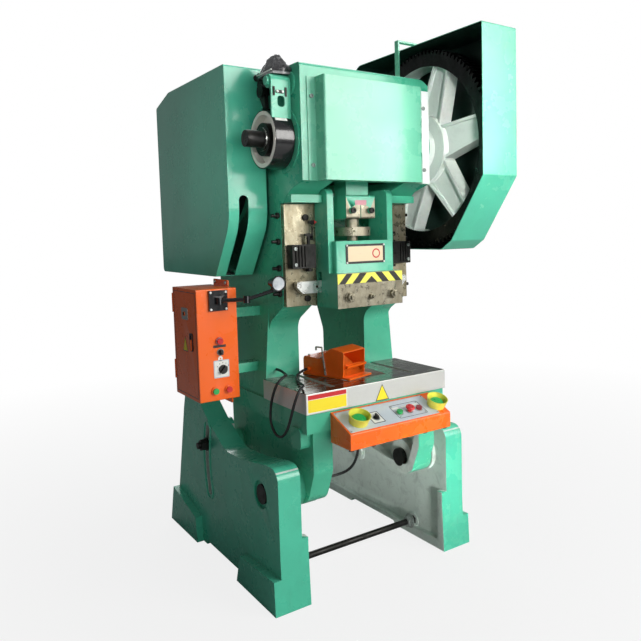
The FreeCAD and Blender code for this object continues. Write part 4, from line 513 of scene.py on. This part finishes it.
def ram_paint(c, n):
    """Oily steel on the block's front and underside and on the lands that run in the gibs."""
    if n.y < -0.5 and c.y < -470 or n.z < -0.5 and c.z < 1240:
        return 1
    return 1 if abs(n.x) < 0.95 and abs(abs(c.x) - 158) < 9 and -330 < c.y < -294 else 0


def gear_paint(c, n):
    """Dark grease on the rim and in the bore."""
    return 0 if 62 <= from_axis(c, CRANK) <= 369 else 1


def rod_paint(c, n):
    """Oily steel on the split block's front and underside and in the crank pin's bore."""
    if c.z < 1562 and n.y < -0.5 and c.y < -400 or n.z < -0.5 and c.z < 1520:
        return 1
    return 1 if from_axis(c, CRANK_PIN) < 62 and abs(n.x) < 0.3 else 0


def guard_shade_paint(wall, y, z):
    """Painted shade: dark on the inside of a guard whose side wall is at the given place."""
    def choose(c, n):
        if abs(n.x) > 0.9:
            return 1 if n.x * wall < 0 and abs(c.x - wall) < 3 else 0
        return 1 if (c.y - y) * n.y + (c.z - z) * n.z < 0 else 0
    return choose


for name, side in (("left_leg", -1), ("right_leg", 1)):
    refine(name, ["leg", "inner", "black", "web_shade"], 3.5, leg_paint(side))
refine("press_frame", ["upright", "inner", "turned"], 4, frame_paint)
refine("ram", ["cast", "oily"], 2.2, ram_paint)
refine("main_gear", ["gear", "grime"], 0, gear_paint, 25)
refine("connecting_rod", ["cast", "oily"], 2.5, rod_paint)
refine("crankshaft", ["turned", "black"], 1.5, lambda c, n: int(c.x < -405))
refine("bolster", "bolster", 1.2)
# painted highlight on the right flange, past x 249.2
refine("front_cover", ["cover", "strip"], 0.8, lambda c, n: int(c.x > 249.2), 20)
refine("gear_guard", ["sheet", "hollow"], 0.8, guard_shade_paint(522, -330, 1810), 20)
refine("flywheel_guard", ["sheet", "hollow"], 0.8, guard_shade_paint(-500, 160, 1700), 20)
for name in ("left_gib", "right_gib"):
    refine(name, "greased", 1.5)
refine("control_box", "orange", 0.8)
refine("control_box_door", "orange", 0.8)
refine("control_box_brackets", ["orange", "upright"], 0.8, lambda c, n: int(c.x > -470))
refine("console", "orange", 0.8)
refine("pedal_base", "pedal", 1.4)
refine("pedal_treadle", "pedal", 1.0)
refine("pedal_hook", "zinc", 0.6)
refine("shank_clamp", "oily", 1.4)
refine("knockout_bar", "bright", 1.5)
for name in ("left_knockout_stop", "right_knockout_stop"):
    refine(name, "black", 1.0)
refine("motor_mount", "cast", 1.5)
refine("brake_strap", "cast", 1.0)
refine("brake_lever", "black", 1.2)
# outside the hub the face takes the pale drum colour with its painted light
refine("brake_drum", ["drum", "black"], 1.2, lambda c, n: int(from_axis(c, CRANK) <= 64))
# takes the cover's lighter green with its painted reflection
refine("gear_guard_bracket", "cover", 0.8)

# CAD pieces that keep their own mesh and get a better material
for look, names in {
    "black": "tie_rods pivot_shafts slot_clamp_bolts gib_screws motor_pulley", "bronze": "crank_bushes",
    "shiny": "brake_band work_lamp_arm work_lamp_head", "turned": "drive_shaft", "rubber": "drive_belts",
    "cast": "brake_anchor flywheel drive_shaft_bearings motor", "oily": "ball_screw",
    "dull": "rotary_switch_knob selector_knob console_selector", "yellow": "palm_button_collars",
    "green_button": "green_button left_palm_button right_palm_button start_button",
    "red_button": "red_button indicator_lamp stop_button", "dark_red": "reset_button",
}.items():
    for name in names.split():
        for slot in nodes[name].material_slots:
            slot.material = M[look]


# ---------------------------------------------------------------- cables
PEDAL_CORD = [
    (-168.2, -219, 862), (-194, -227, 860), (-226, -244, 850), (-252, -280, 845), (-272, -328, 845),
    (-290, -380, 846), (-304, -428, 849), (-324, -470, 858), (-356, -490, 848), (-375, -484, 800),
    (-378, -458, 738), (-376, -420, 676), (-373, -366, 634), (-371, -306, 634), (-371, -266, 676),
    (-371, -272, 738), (-373, -300, 796), (-368, -330, 848), (-334, -328, 872), (-302, -292, 866),
    (-287, -246, 864), (-284, -206, 870), (-284, -168, 870),
]
DESK_CORD = [
    (-150, -523, 670), (-150, -562, 670), (-149, -581, 622), (-146, -566, 570), (-146, -538, 522),
    (-158, -504, 488), (-188, -480, 474), (-220, -480, 474),
]
CORD_RADIUS = 5.5


def cable(name, node, points):
    """A cord along its route's control points."""
    curve = bpy.data.curves.new(name, "CURVE")
    curve.dimensions = "3D"
    spline = curve.splines.new("NURBS")
    spline.points.add(len(points) - 1)
    for point, place in zip(spline.points, points):
        point.co = (*[value * MM for value in place], 1)
    spline.order_u = 3
    spline.use_endpoint_u = True
    spline.resolution_u = 8
    curve.bevel_depth = CORD_RADIUS * MM
    curve.bevel_resolution = 4
    curve.use_fill_caps = True
    curve.materials.append(M["rubber"])
    piece = placed(name, curve)
    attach(piece, "body")
    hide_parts(node)


cable("pedal_cord", "pedal_cable", PEDAL_CORD)
cable("desk_cord", "console_cable", DESK_CORD)

# ---------------------------------------------------------------- fastenings, plates and small parts
# take (across, up, away), or (back, up, away), to a face that looks to the front or to a side
TO_FRONT = Matrix(((1, 0, 0), (0, 0, -1), (0, 1, 0)))
TO_LEFT = Matrix(((0, 0, -1), (1, 0, 0), (0, 1, 0)))
TO_RIGHT = Matrix(((0, 0, 1), (1, 0, 0), (0, 1, 0)))


def circle(x, y, radius, count=28):
    turns = [2 * pi * i / count for i in range(count)]
    return [(x + radius * cos(a), y + radius * sin(a)) for a in turns]


def rounded(x0, x1, y0, y1, radius):
    """Outline of a rectangle with rounded corners."""
    points = []
    for cx, cy, start in ((x1 - radius, y1 - radius, 0), (x0 + radius, y1 - radius, 90),
                          (x0 + radius, y0 + radius, 180), (x1 - radius, y0 + radius, 270)):
        for step in range(0, 91, 18):
            angle = radians(start + step)
            points.append((cx + radius * cos(angle), cy + radius * sin(angle)))
    return points


def shrunk(points, by):
    """A small convex outline drawn in towards its middle."""
    cx = sum(p[0] for p in points) / len(points)
    cy = sum(p[1] for p in points) / len(points)
    out = []
    for x, y in points:
        reach = hypot(x - cx, y - cy)
        out.append((x - (x - cx) / reach * by, y - (y - cy) / reach * by))
    return out


def face_plate(name, layers, base, thick, looks, body, slot, plane="XZ"):
    """Thin fields laid on each other on a flat face; each is an outline and its material's place."""
    shape = Shape()
    for step, (outline, look) in enumerate(layers):
        shape.paint(look).prism(outline, plane, base - thick - 0.25 * step, base)
    shape.done(name, looks, body, slot, 0.15)


def screws(name, places, axis, radius, height, look, body, slot, socket=True):
    """Like screws at several places, as one piece."""
    shape = Shape()
    for place in places:
        shape.cap_screw(radius, height, place, axis, socket)
    shape.done(name, look, body, slot, 0.2, 40)


def slide_plate():
    """Plain plate on the slide's green front, and the striped band below it."""
    front, thick = -446, 1.6
    layers = [(rounded(-99, 98, 1318, 1398, 5), 0), (rounded(-88, 87, 1327, 1389, 3), 1),
              (circle(52, 1358, 20), 2), (circle(52, 1358, 14.5), 1)]
    face_plate("slide_plate", layers, front, thick, ["dull", "beige", "red"], "slide", "black_plastic")
    corners = [(x, front - thick, z) for x in (-93, 92) for z in (1323, 1393)]
    screws("slide_plate_screws", corners, FRONT, 4, 2.6, "white", "slide", "plated_steel", False)
    band, low, high = -480, 1241, 1281
    shape = Shape().prism(rect(-162, 162, low, high), "XZ", band - 0.5, band).paint(1)
    for side in (-1, 1):
        for near, width in ((57, 35), (126, 31)):
            stripe = [(side * near, low), (side * (near + width), low), (side * (near + width - 37), high),
                      (side * (near - 36), high)]
            shape.prism(stripe, "XZ", band - 0.8, band - 0.4)
    shape.prism([(-27, low), (31, low), (3, high - 14)], "XZ", band - 0.8, band - 0.4)
    shape.done("slide_stripes", ["hazard", "hazard_black"], "slide", "yellow_plastic")


def rod_details():
    """Socket screws through the split block of the connecting rod and the plain field above them."""
    places = [(x, -430, 1536) for x in (-46, 46)]
    screws("rod_block_screws", places, FRONT, 12.6, 7, "black", "rod", "dark_steel")
    field = [(rounded(-28, 29, 1559, 1579, 2), 0)]
    face_plate("rod_block_field", field, -418, 0.5, "pink", "rod", "cast_green")


def bolster_fields():
    """Colour fields on the front of the bolster: a banded label and a plain warning triangle."""
    front, thick = -530, 0.5
    card = [(rect(-347, -163, 759, 833), 0), (rect(-342, -168, 763, 811), 1), (rect(-342, -168, 813, 830), 2)]
    face_plate("bolster_label", card, front, thick, ["white", "label", "red"], "body", "yellow_plastic")
    sign = [(-27, 756), (42, 756), (8, 824)]
    face_plate("bolster_triangle", [(sign, 0), (shrunk(sign, 6.5), 1)], front, thick, ["line", "label"],
               "body", "yellow_plastic")


def cover_screws():
    places = [(x, -494, z) for x in (-267, 281) for z in (1705, 1964)]
    screws("cover_screws", places, FRONT, 8.5, 6, "zinc", "body", "plated_steel")


def gib_details():
    """Sockets in the gib screws, the stroke pointer with its red tip, and the stops' screws."""
    places = [(side * 213, -332, z) for side in (-1, 1) for z in (1180, 1511)]
    screws("gib_screw_sockets", places, FRONT, 12.8, 2.5, "black", "body", "dark_steel")
    shape = Shape().prism(rounded(-199, -179, 1418, 1438, 3), "XZ", -330, -324)
    shape.tube([(-189, -329, 1428), (-189, -337, 1432), (-189, -338, 1440), (-189, -338, 1494)], 3.2)
    shape.prism([(-206, 1486), (-180, 1484), (-168, 1491), (-180, 1499), (-206, 1498)], "XZ", -341.5, -334.5)
    shape.paint(1).prism([(-180, 1483), (-166, 1491), (-180, 1500)], "XZ", -342.5, -333.5)
    shape.done("stroke_pointer", ["black", "red"], "body", "dark_steel", 0.8)
    for side, name in ((-1, "stop_screws_left"), (1, "stop_screws_right")):
        places = [(side * 286, -368, z) for z in (1322, 1386)]
        screws(name, places, FRONT, 7, 5, "zinc", "body", "dark_steel")


def brake_details():
    """Slot, nuts and clips of the strap, a painted highlight on the band, the lever's spring, the drum's key.
    """
    strap, lever = -440, -363
    face_plate("strap_slot", [(rounded(-388, -354, 1972, 1985, 4), 0)], strap, 0.6, "hazard_black", "body",
               "dark_steel")
    shape = Shape()
    for x in (-382, -360):
        shape.hexagon(5.4, 0.6, 5, (x, strap, 1978.5), FRONT, 0.3)
        shape.lathe([(0, 0), (2.4, 0), (2.4, 8), (0, 8.4)], (x, strap, 1978.5), FRONT, 12)
    shape.done("strap_nuts", "zinc", "body", "plated_steel", 0.4)
    shape = Shape()
    for x in (-396, -346):
        shape.box((x - 4, x + 4), (strap - 3.4, strap + 0.2), (1962, 1996))
    shape.done("strap_clips", "black", "body", "dark_steel", 0.8)
    # painted highlight: a thin white field along the glossy black band
    angles = [radians(47 + 10 * i / 12) for i in range(13)]
    inner, outer = ([(CRANK[0] - radius * sin(a), CRANK[1] + radius * cos(a)) for a in angles]
                    for radius in (112.9, 113.3516))
    Shape().prism(inner + outer[::-1], "YZ", -394, -344).done("band_painted_highlight", "white", "body", "cast_green")
    coils, steps, radius = 11, 14, 11.5
    path = []
    for i in range(coils * steps + 1):
        share = i / (coils * steps)
        angle = 2 * pi * coils * share
        path.append((lever + radius * cos(angle), -276 + 100 * share,
                     2062 + radius * sin(angle) + 12 * share))
    shape = Shape().tube(path, 2.3, 8).tube([(lever, -296, 2060), (lever, -150, 2077)], 4.2)
    shape.done("brake_spring", "black", "body", "dark_steel", 0, 60)
    shape = Shape()
    for y, z in ((-288, 2061), (-168, 2075)):
        shape.hexagon(12, -5, 5, (lever, y, z), BACK, 0.2)
    shape.prism([(-174, 2052), (-158, 2052), (-152, 2102), (-166, 2102)], "YZ", -378, -312)
    shape.done("spring_end", "black", "body", "dark_steel", 0.8)
    key = Shape().box((-470, -425), (-355.5, -344.5), (1838, 1843))
    key.done("shaft_key", "zinc", "crank", "machined_steel", 0.6)


def wrapped_lubricator():
    """Lubricator packed in crumpled film, drawn over the bevel of the head."""
    rows, columns, roundness = 46, 42, 0.35
    x0, x1, y0, y1, top = -398, -292, -436, -300, 2130
    ridge, half = -350, 46
    carrier = [(-256, 2088.3), (-272, 2088.3), (-312, 2062.5), (-324, 2048), (-401, 2048)]
    shape = Shape()

    def foot(x):
        """What carries it: the head's top, its bevel and the strap round the anchor."""
        for (xa, za), (xb, zb) in zip(carrier, carrier[1:]):
            if x >= xb:
                return za + (zb - za) * (xa - x) / (xa - xb)
        return carrier[-1][1]

    def fold(x, y, z):
        cell = Vector((x * 0.034, y * 0.027, z * 0.03))
        return noise.cell(cell * 0.9) * 3.2 + (0.5 - abs(noise.noise(cell * 2.1))) * 10

    grid = []
    for i in range(rows + 1):
        line = []
        for j in range(columns + 1):
            u, v = 2 * i / rows - 1, 2 * j / columns - 1
            square = max(abs(u), abs(v))
            length = hypot(u, v) or 1
            pull = 1 - roundness + roundness * square / length
            x = (x0 + x1) / 2 + u * pull * (x1 - x0) / 2
            y = (y0 + y1) / 2 + v * pull * (y1 - y0) / 2
            rim = max(0.0, 1 - square ** 5)
            tall = 7 + 74 * max(0.0, 1 - abs(x - ridge) / half) ** 0.6 + 6 * sin(y * 0.05)
            z = foot(x) + rim ** 0.5 * min(tall, top - foot(x))
            if square < 0.999:
                z += (fold(x, y, z) - 3) * min(1.0, (1 - square) * 5) * 0.8
                x += noise.noise(Vector((y * 0.06, z * 0.06, 3))) * 3 * rim
            line.append(shape.bm.verts.new((min(x, x1), y, min(max(z, foot(x) + 0.2), top + 4))))
        grid.append(line)
    for i in range(rows):
        for j in range(columns):
            shape.face([grid[i][j], grid[i + 1][j], grid[i + 1][j + 1], grid[i][j + 1]])
    border = grid[0] + [row[-1] for row in grid[1:]] + grid[-1][-2::-1] + [row[0] for row in grid[-2:0:-1]]
    under = [shape.bm.verts.new((v.co.x, v.co.y, foot(v.co.x) - 0.2)) for v in border]
    shape.skin([border, under]).face(under[::-1])
    piece = shape.done("wrapped_lubricator", "film", "body", "wrap_black", 0, 24)
    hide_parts("lubricator")
    strap = [(-398, -310, 2058), (-401, -340, 2056), (-402, -390, 2056), (-398, -430, 2060)]
    Shape().tube(strap, 2.4, 8).done("film_tie", "white", "body", "wrap_black", 0, 60)


# the console's sloping panel: across, up the slope, away from it; its buttons stand in one row
DESK_LONG = hypot(141, 57)
DESK_COS, DESK_SIN = 141 / DESK_LONG, 57 / DESK_LONG
DESK = Matrix.Translation((0, -661, 689)) @ Matrix((
    (1, 0, 0, 0), (0, DESK_COS, -DESK_SIN, 0), (0, DESK_SIN, DESK_COS, 0), (0, 0, 0, 1)))
DESK_OUT = (0, -DESK_SIN, DESK_COS)
DESK_ROW = 60
DIAL, BUTTONS = -79, (37, 88, 137)


def on_desk(x, up, lift=0.0):
    return DESK @ Vector((x, up, lift))


def console_details():
    """Grey panel with its holes, framed sub-plate, dial plate, screws, tags, feet, gland and lock rings."""
    heads = [circle(x, DESK_ROW, r) for x, r in zip((DIAL, *BUTTONS), (13.4, 13.4, 10.5, 13.4))]
    edge, panel, collar, left, right = 212, 1.2, 37.6, -165, 230
    outline = rounded(-231, edge, 9, 142, 5)
    angle = acos((right - edge) / collar)
    bite = [(right - collar * cos(a), DESK_ROW + collar * sin(a))
            for a in (angle * (i / 12 - 1) for i in range(25))]
    for i, (a, b) in enumerate(zip(outline, outline[1:] + outline[:1])):
        if min(a[0], b[0]) > edge - 0.1 and abs(a[1] - b[1]) > 50:
            outline[i + 1:i + 1] = bite if b[1] > a[1] else bite[::-1]
            break
    holes = [circle(left, DESK_ROW, collar, 48)] + heads
    Shape().pierced(outline, holes, 0, panel, DESK).done("console_panel", "panel", "body", "desk_orange", 0.3)
    frame_out, frame_in = rounded(17, 163, 26, 114, 8), rounded(19.5, 160.5, 28.5, 111.5, 6)
    line = Shape().pierced(frame_out, [frame_in], panel, 1.6, DESK)
    line.done("console_frame_line", "line", "body", "desk_orange")
    dial_out, dial_in = rounded(-107, -51, 30, 101, 4), rounded(-103.5, -54.5, 33.5, 97.5, 3)
    shape = Shape().pierced(dial_out, [dial_in], panel, 1.9, DESK)
    shape.paint(1).pierced(dial_in, [circle(DIAL, DESK_ROW, 13.6)], panel, 1.7, DESK).paint(0)
    for a in (-pi / 4, 0, pi / 4):
        x, up = DIAL + 21 * sin(a), DESK_ROW + 21 * cos(a)
        shape.prism(rect(x - 1.2, x + 1.2, up - 3, up + 3), "XY", 1.6, 1.95, DESK)
    shape.done("console_dial", ["line", "white"], "body", "black_plastic")
    rings = Shape()
    for x, inner, outer in zip((*BUTTONS, DIAL), (13.4, 11, 13.4, 13.4), (17, 17, 17, 16)):
        rings.lathe([(inner, 1.2), (outer, 1.2), (outer, 3), (outer - 1.2, 3.8), (inner, 3.8), (inner, 1.2)],
                    on_desk(x, DESK_ROW), DESK_OUT, 36)
    rings.done("console_lock_rings", "zinc", "body", "plated_steel", 0.2)
    places = [on_desk(x, up, panel) for x in (-224, 205) for up in (16, 135)]
    places += [on_desk(x, up, 1.6) for x in (25, 155) for up in (35, 105)]
    screws("console_screws", places, DESK_OUT, 3.6, 2.2, "zinc", "body", "plated_steel")
    tags = Shape()
    for x in BUTTONS:
        tags.prism(rounded(x - 17, x + 17, 88, 98, 2), "XY", panel, 1.7, DESK)
    tags.done("console_tags", "white", "body", "plated_steel")
    feet = Shape()
    for x in (-222, -120, 140, 246):
        feet.lathe([(0, 0), (9, 0), (11, -9), (0, -9)], (x, -640, 627.4), UP, 20)
    feet.done("console_feet", "rubber", "body", "cable_rubber", 0.6)
    gland = Shape().lathe([(6.2, 0), (15, 0), (15, 7), (11, 8), (11, 16), (8, 19), (6.2, 19)],
                          (-150, -522.6, 670), FRONT, 28)
    gland.done("console_gland", "dull", "body", "black_plastic", 0.5)


def cabinet_details():
    """Plates, bezels and lamp ring on the cabinet's front; lock, sign and handle on its door."""
    front, side = 209, 641
    screws("lamp_plate_screws", [(x, -front - 10, z) for x in (-586, -523) for z in (1156, 1223)],
           FRONT, 4.6, 3.4, "white", "body", "plated_steel", False)
    face_plate("cabinet_tag", [(rounded(-580, -527, 1002, 1012, 2), 0)], -front, 1.0, "dull", "body",
               "black_plastic")
    knob = (-543, 913)
    hole = circle(*knob, 6.4)
    plate, card = rounded(-581, -516, 880, 951, 4), rounded(-577, -520, 884, 947, 3)
    shape = Shape().pierced(plate, [hole], front, front + 1, TO_FRONT)
    shape.paint(1).pierced(card, [hole], front + 1, front + 1.3, TO_FRONT).paint(2)
    for turn in range(-60, 61, 30):
        x, z = knob[0] + 26.5 * sin(radians(turn)), knob[1] + 26.5 * cos(radians(turn))
        shape.prism(rect(x - 1, x + 1, z - 2.6, z + 2.6), "XZ", -front - 1.6, -front - 1.2)
    shape.done("rotary_plate", ["panel", "white", "line"], "body", "black_plastic")
    rings = Shape()
    for x, z, inner, outer, reach in ((-578, 829, 12.4, 15, 6), (-522, 829, 12.4, 15, 6),
                                      (-554, 1028, 12.4, 15, 5), (-551, 983, 11.4, 14.5, 4)):
        rings.lathe([(inner, 0), (outer, 0), (outer, reach - 2), (outer - 2, reach), (inner, reach),
                     (inner, 0)], (x, -front, z), FRONT, 36)
    rings.done("button_bezels", "zinc", "body", "plated_steel", 0.3)
    tag = Shape().pierced(circle(-552, 957, 10, 32), [circle(-552, 957, 3)], front, front + 1, TO_FRONT)
    tag.done("selector_tag", "white", "body", "black_plastic", 0.2)
    sign = [(-97, 980), (-43, 980), (-72, 1043)]
    face_plate("door_sign", [(sign, 0), (shrunk(sign, 6), 1)], -side, 0.5, ["line", "label"], "door",
               "yellow_plastic", "YZ")
    keyhole = circle(-76, 1134, 9.4)
    shape = Shape().pierced(rounded(-111, -45, 1110, 1158, 6), [keyhole], side, side + 2.4, TO_LEFT)
    shape.paint(1).lathe([(0, 0), (6, 0), (6, 2.2), (5, 3), (0, 3)], (-side - 5, -76, 1134), LEFT, 24)
    shape.paint(0).box((-side - 8.4, -side - 7.8), (-80, -72), (1133, 1135))
    shape.done("door_lock", ["zinc", "black"], "door", "plated_steel", 0.4)
    shape = Shape().pierced(rounded(-158, -124, 988, 1060, 8), [rounded(-152, -130, 994, 1054, 5)],
                            side, side + 3, TO_LEFT)
    shape.paint(1).tube([(-side - 4.2, -141, 996), (-side - 4.2, -141, 1052)], 3.2, 14)
    shape.done("door_handle", ["dull", "black"], "door", "dark_steel", 0, 60)
    crease = Shape().pierced(rounded(-196, 43, 802, 1223, 6), [rounded(-194, 41, 804, 1221, 5)],
                             side, side + 0.5, TO_LEFT)
    crease.done("door_crease", "line", "door", "box_orange")
    bolts = [(-475.2, y, z) for y in (-110, 0) for z in (770, 1250)]
    screws("bracket_bolts", bolts, LEFT, 7, 5, "zinc", "body", "plated_steel")


def lamp_details():
    """Moulded lens in the lamp head, its bezel and its pin's screw."""
    x, y, z = -382, -356, 1255
    rings = [(0, 47)]
    for radius in [25.4 * i / 9 for i in range(1, 10)]:
        crown = 2.4 * (1 - (radius / 26) ** 2)
        rings += [(radius - 1.6, 44.0 + crown), (radius, 44.6 + crown)]
    rings += [(25.6, 43.2), (25.6, 42), (0, 42)]
    Shape().lathe(rings, (x, y, z), FRONT, 48).done("lamp_lens_disc", "lens", "lamp_head", "lamp_body", 0, 50)
    bezel = Shape().lathe([(26.2, 44.2), (30.6, 44.2), (30.8, 47), (29.6, 48.4), (26.6, 48.4), (26.2, 44.2)],
                          (x, y, z), FRONT, 48)
    bezel.done("lamp_bezel", "shiny", "lamp_head", "lamp_body", 0.3)
    screws("lamp_pin_screw", [(x + 12.6, y, z - 29)], RIGHT, 7, 4, "zinc", "lamp_head", "plated_steel")


def pedal_details():
    """Ribs on the treadle and screws on the switch housing."""
    turn = Matrix.Translation((-58, -290, 837)) @ Matrix.Rotation(radians(17), 4, "Z")
    shape = Shape()
    for i in range(9):
        y = -22 - 9.4 * i
        height = 34 + (8 - y) * (22 / 118)
        shape.prism(rect(-50, 50, y - 1.6, y + 1.6), "XY", height - 1, height + 2.2, turn)
    shape.done("treadle_ribs", "pedal", "treadle", "pedal_orange", 0.5)
    shape = Shape()
    for x in (-52, 52):
        for y in (40, 112):
            shape.cap_screw(5, 4, turn @ Vector((x, y, 73 + (y - 20) * 0.09)), UP)
    shape.done("pedal_screws", "zinc", "body", "plated_steel", 0.3)


def motor_details():
    """Terminal box and fan grille on the motor behind the head."""
    box = Shape().box((-180, -90), (520, 590), (1330, 1430)).box((-176, -94), (588, 596), (1334, 1426))
    box.done("motor_terminal_box", "cast", "body", "motor_paint", 2)
    y, z = 478, 1380
    shape = Shape()
    for radius in (26, 44, 62, 80):
        shape.lathe([(radius - 5, 0), (radius + 5, 0), (radius + 5, 2.2), (radius - 5, 2.2), (radius - 5, 0)],
                    (60, y, z), RIGHT, 40)
    for i in range(8):
        a = pi / 4 * i
        shape.tube([(62, y, z), (62, y + 88 * cos(a), z + 88 * sin(a))], 2.0, 6)
    shape.done("fan_grille", "black", "body", "motor_paint", 0, 40)


def tie_rod_details():
    """Lock nuts and washers on the tie rods, against the inner face of each foot."""
    shape = Shape()
    for side in (-1, 1):
        for y in (-270, 560):
            place, inward = (side * 344.8, y, 62), (-side, 0, 0)
            shape.lathe([(14.6, 0), (34, 0), (34, 4), (14.6, 4), (14.6, 0)], place, inward, 36)
            shape.hexagon(27, 4, 24, place, inward, 0.25)
    shape.done("rod_lock_nuts", "zinc", "base", "plated_steel", 0.8)


def tilt_slot(reach):
    """Outline of a leg's curved slot, grown by the given reach from its middle line."""
    middle, half = 545, radians(15.5)
    outline = []
    for sense in (1, -1):
        spread = [half * sense * (i / 8 - 1) for i in range(17)]
        outline += [((middle + sense * reach) * cos(a), (middle + sense * reach) * sin(a)) for a in spread]
        end = (middle * cos(half), middle * sin(half) * sense)
        for i in range(1, 12):
            turn = half * sense + pi * i / 12 + (0 if sense > 0 else pi)
            outline.append((end[0] + reach * cos(turn), end[1] + reach * sin(turn)))
    return [(y + PIVOT[0], z + PIVOT[1]) for y, z in outline]


def slot_rims():
    """Raised bead round each leg's tilt slot."""
    for name, turn in (("left_slot_rim", TO_LEFT), ("right_slot_rim", TO_RIGHT)):
        shape = Shape().pierced(tilt_slot(37), [tilt_slot(31)], LEG_FACE - 2, 472.5, turn)
        shape.done(name, "leg", "base", "leg_paint", 2)


slide_plate()
rod_details()
bolster_fields()
cover_screws()
gib_details()
brake_details()
wrapped_lubricator()
console_details()
cabinet_details()
lamp_details()
pedal_details()
motor_details()
tie_rod_details()
slot_rims()


# ---------------------------------------------------------------- floor, lights, camera
def floor():
    """Pale floor: it takes the object's shadow near by and goes over into the white background."""
    mesh = bpy.data.meshes.new("floor")
    mesh.from_pydata([(x, y, 0) for x, y in rect(-40, 40, -40, 40)], [], [(0, 1, 2, 3)])
    look = Look("pale_floor", (0.42, 0.42, 0.42, 1), 0.8)
    seen = look.node("ShaderNodeLightPath").outputs["Is Camera Ray"]
    reach = look.node("ShaderNodeVectorMath", {0: look.coords}, operation="LENGTH").outputs["Value"]
    far = look.ramp(look.math("MULTIPLY", reach, 0.2), (0.2, 0.84), (0.9, 1.0))
    surface = look.blend(look.math("MULTIPLY", seen, far), look.shader, look.node("ShaderNodeEmission"))
    look.link(surface, look.tree.nodes["Material Output"].inputs["Surface"])
    mesh.materials.append(look.mat)
    placed("floor", mesh)


def world():
    """A faint sky that the camera sees white, as do reflections in part."""
    sky = bpy.data.worlds.new("studio")
    bpy.context.scene.world = sky
    sky.use_nodes = True
    sky.node_tree.nodes.clear()
    tree = Nodes(sky.node_tree)
    light = tree.node("ShaderNodeBackground", {"Color": (0.86, 0.94, 1.0, 1), "Strength": 0.1})
    white = tree.node("ShaderNodeBackground", {"Color": (1, 1, 1, 1), "Strength": 1.0})
    rays = tree.node("ShaderNodeLightPath").outputs
    glossy = tree.math("MULTIPLY", rays["Is Glossy Ray"], 0.22)
    seen = tree.math("MAXIMUM", rays["Is Camera Ray"], glossy)
    tree.node("ShaderNodeOutputWorld", {"Surface": tree.blend(seen, light, white)})


def soft_light(name, place, target, size, power, colour, spread=180):
    """A square area light that looks at its target."""
    data = bpy.data.lights.new(name, "AREA")
    data.spread = radians(spread)
    data.shape = "RECTANGLE"
    data.size = data.size_y = size
    data.energy = power
    data.color = colour
    lamp = placed(name, data)
    lamp.location = place
    lamp.rotation_euler = (Vector(target) - Vector(place)).to_track_quat("-Z", "Y").to_euler()


def camera():
    """The photograph's own viewpoint; its focal length and its middle are in the photograph's pixels."""
    photo, focal, middle = 641, 675.13, (382.02, 283.66)
    yaw, pitch, roll = (radians(a) for a in (36.176, -4.5045, -1.2545))
    ahead = Vector((sin(yaw) * cos(pitch), cos(yaw) * cos(pitch), sin(pitch)))
    right = Vector((cos(yaw), -sin(yaw), 0))
    up = right.cross(ahead)
    right, up = cos(roll) * right + sin(roll) * up, cos(roll) * up - sin(roll) * right
    data = bpy.data.cameras.new("camera")
    data.sensor_width = 36
    data.lens = focal / photo * 36
    data.shift_x = (photo / 2 - middle[0]) / photo
    data.shift_y = (middle[1] - photo / 2) / photo
    item = placed("camera", data)
    turn = Matrix((right, up, -ahead)).transposed().to_4x4()
    item.matrix_world = Matrix.Translation((-1.5964, -2.7391, 1.4515)) @ turn
    bpy.context.scene.camera = item


floor()
world()
soft_light("key", (3.0, -5.2, 3.2), (0, -0.3, 1.1), 3.2, 285, (1.0, 0.98, 0.95))
soft_light("front", (-0.2, -5.8, 1.7), (0, -0.3, 1.0), 2.4, 88, (0.95, 0.98, 1.0))
soft_light("top", (0.8, 0.2, 5.2), (0, 0, 1.0), 3.0, 70, (1.0, 1.0, 1.0))
soft_light("gear_fill", (-1.7, -4.3, 2.1), (0.42, -0.55, 1.8), 0.6, 1.6, (1.0, 1.0, 0.98), 14)
soft_light("leg_fill", (-0.9, -4.2, 0.5), (0.37, -0.05, 0.36), 0.5, 1.1, (1.0, 1.0, 0.98), 12)
soft_light("drum_fill", (-3.2, -3.4, 2.1), (-0.45, -0.2, 1.78), 0.6, 0.5, (1.0, 1.0, 0.98), 16)
soft_light("rear", (2.0, 5.2, 3.4), (0, 0.2, 1.1), 3.0, 90, (0.98, 1.0, 1.0))
camera()

bpy.context.scene.view_settings.view_transform = "Standard"
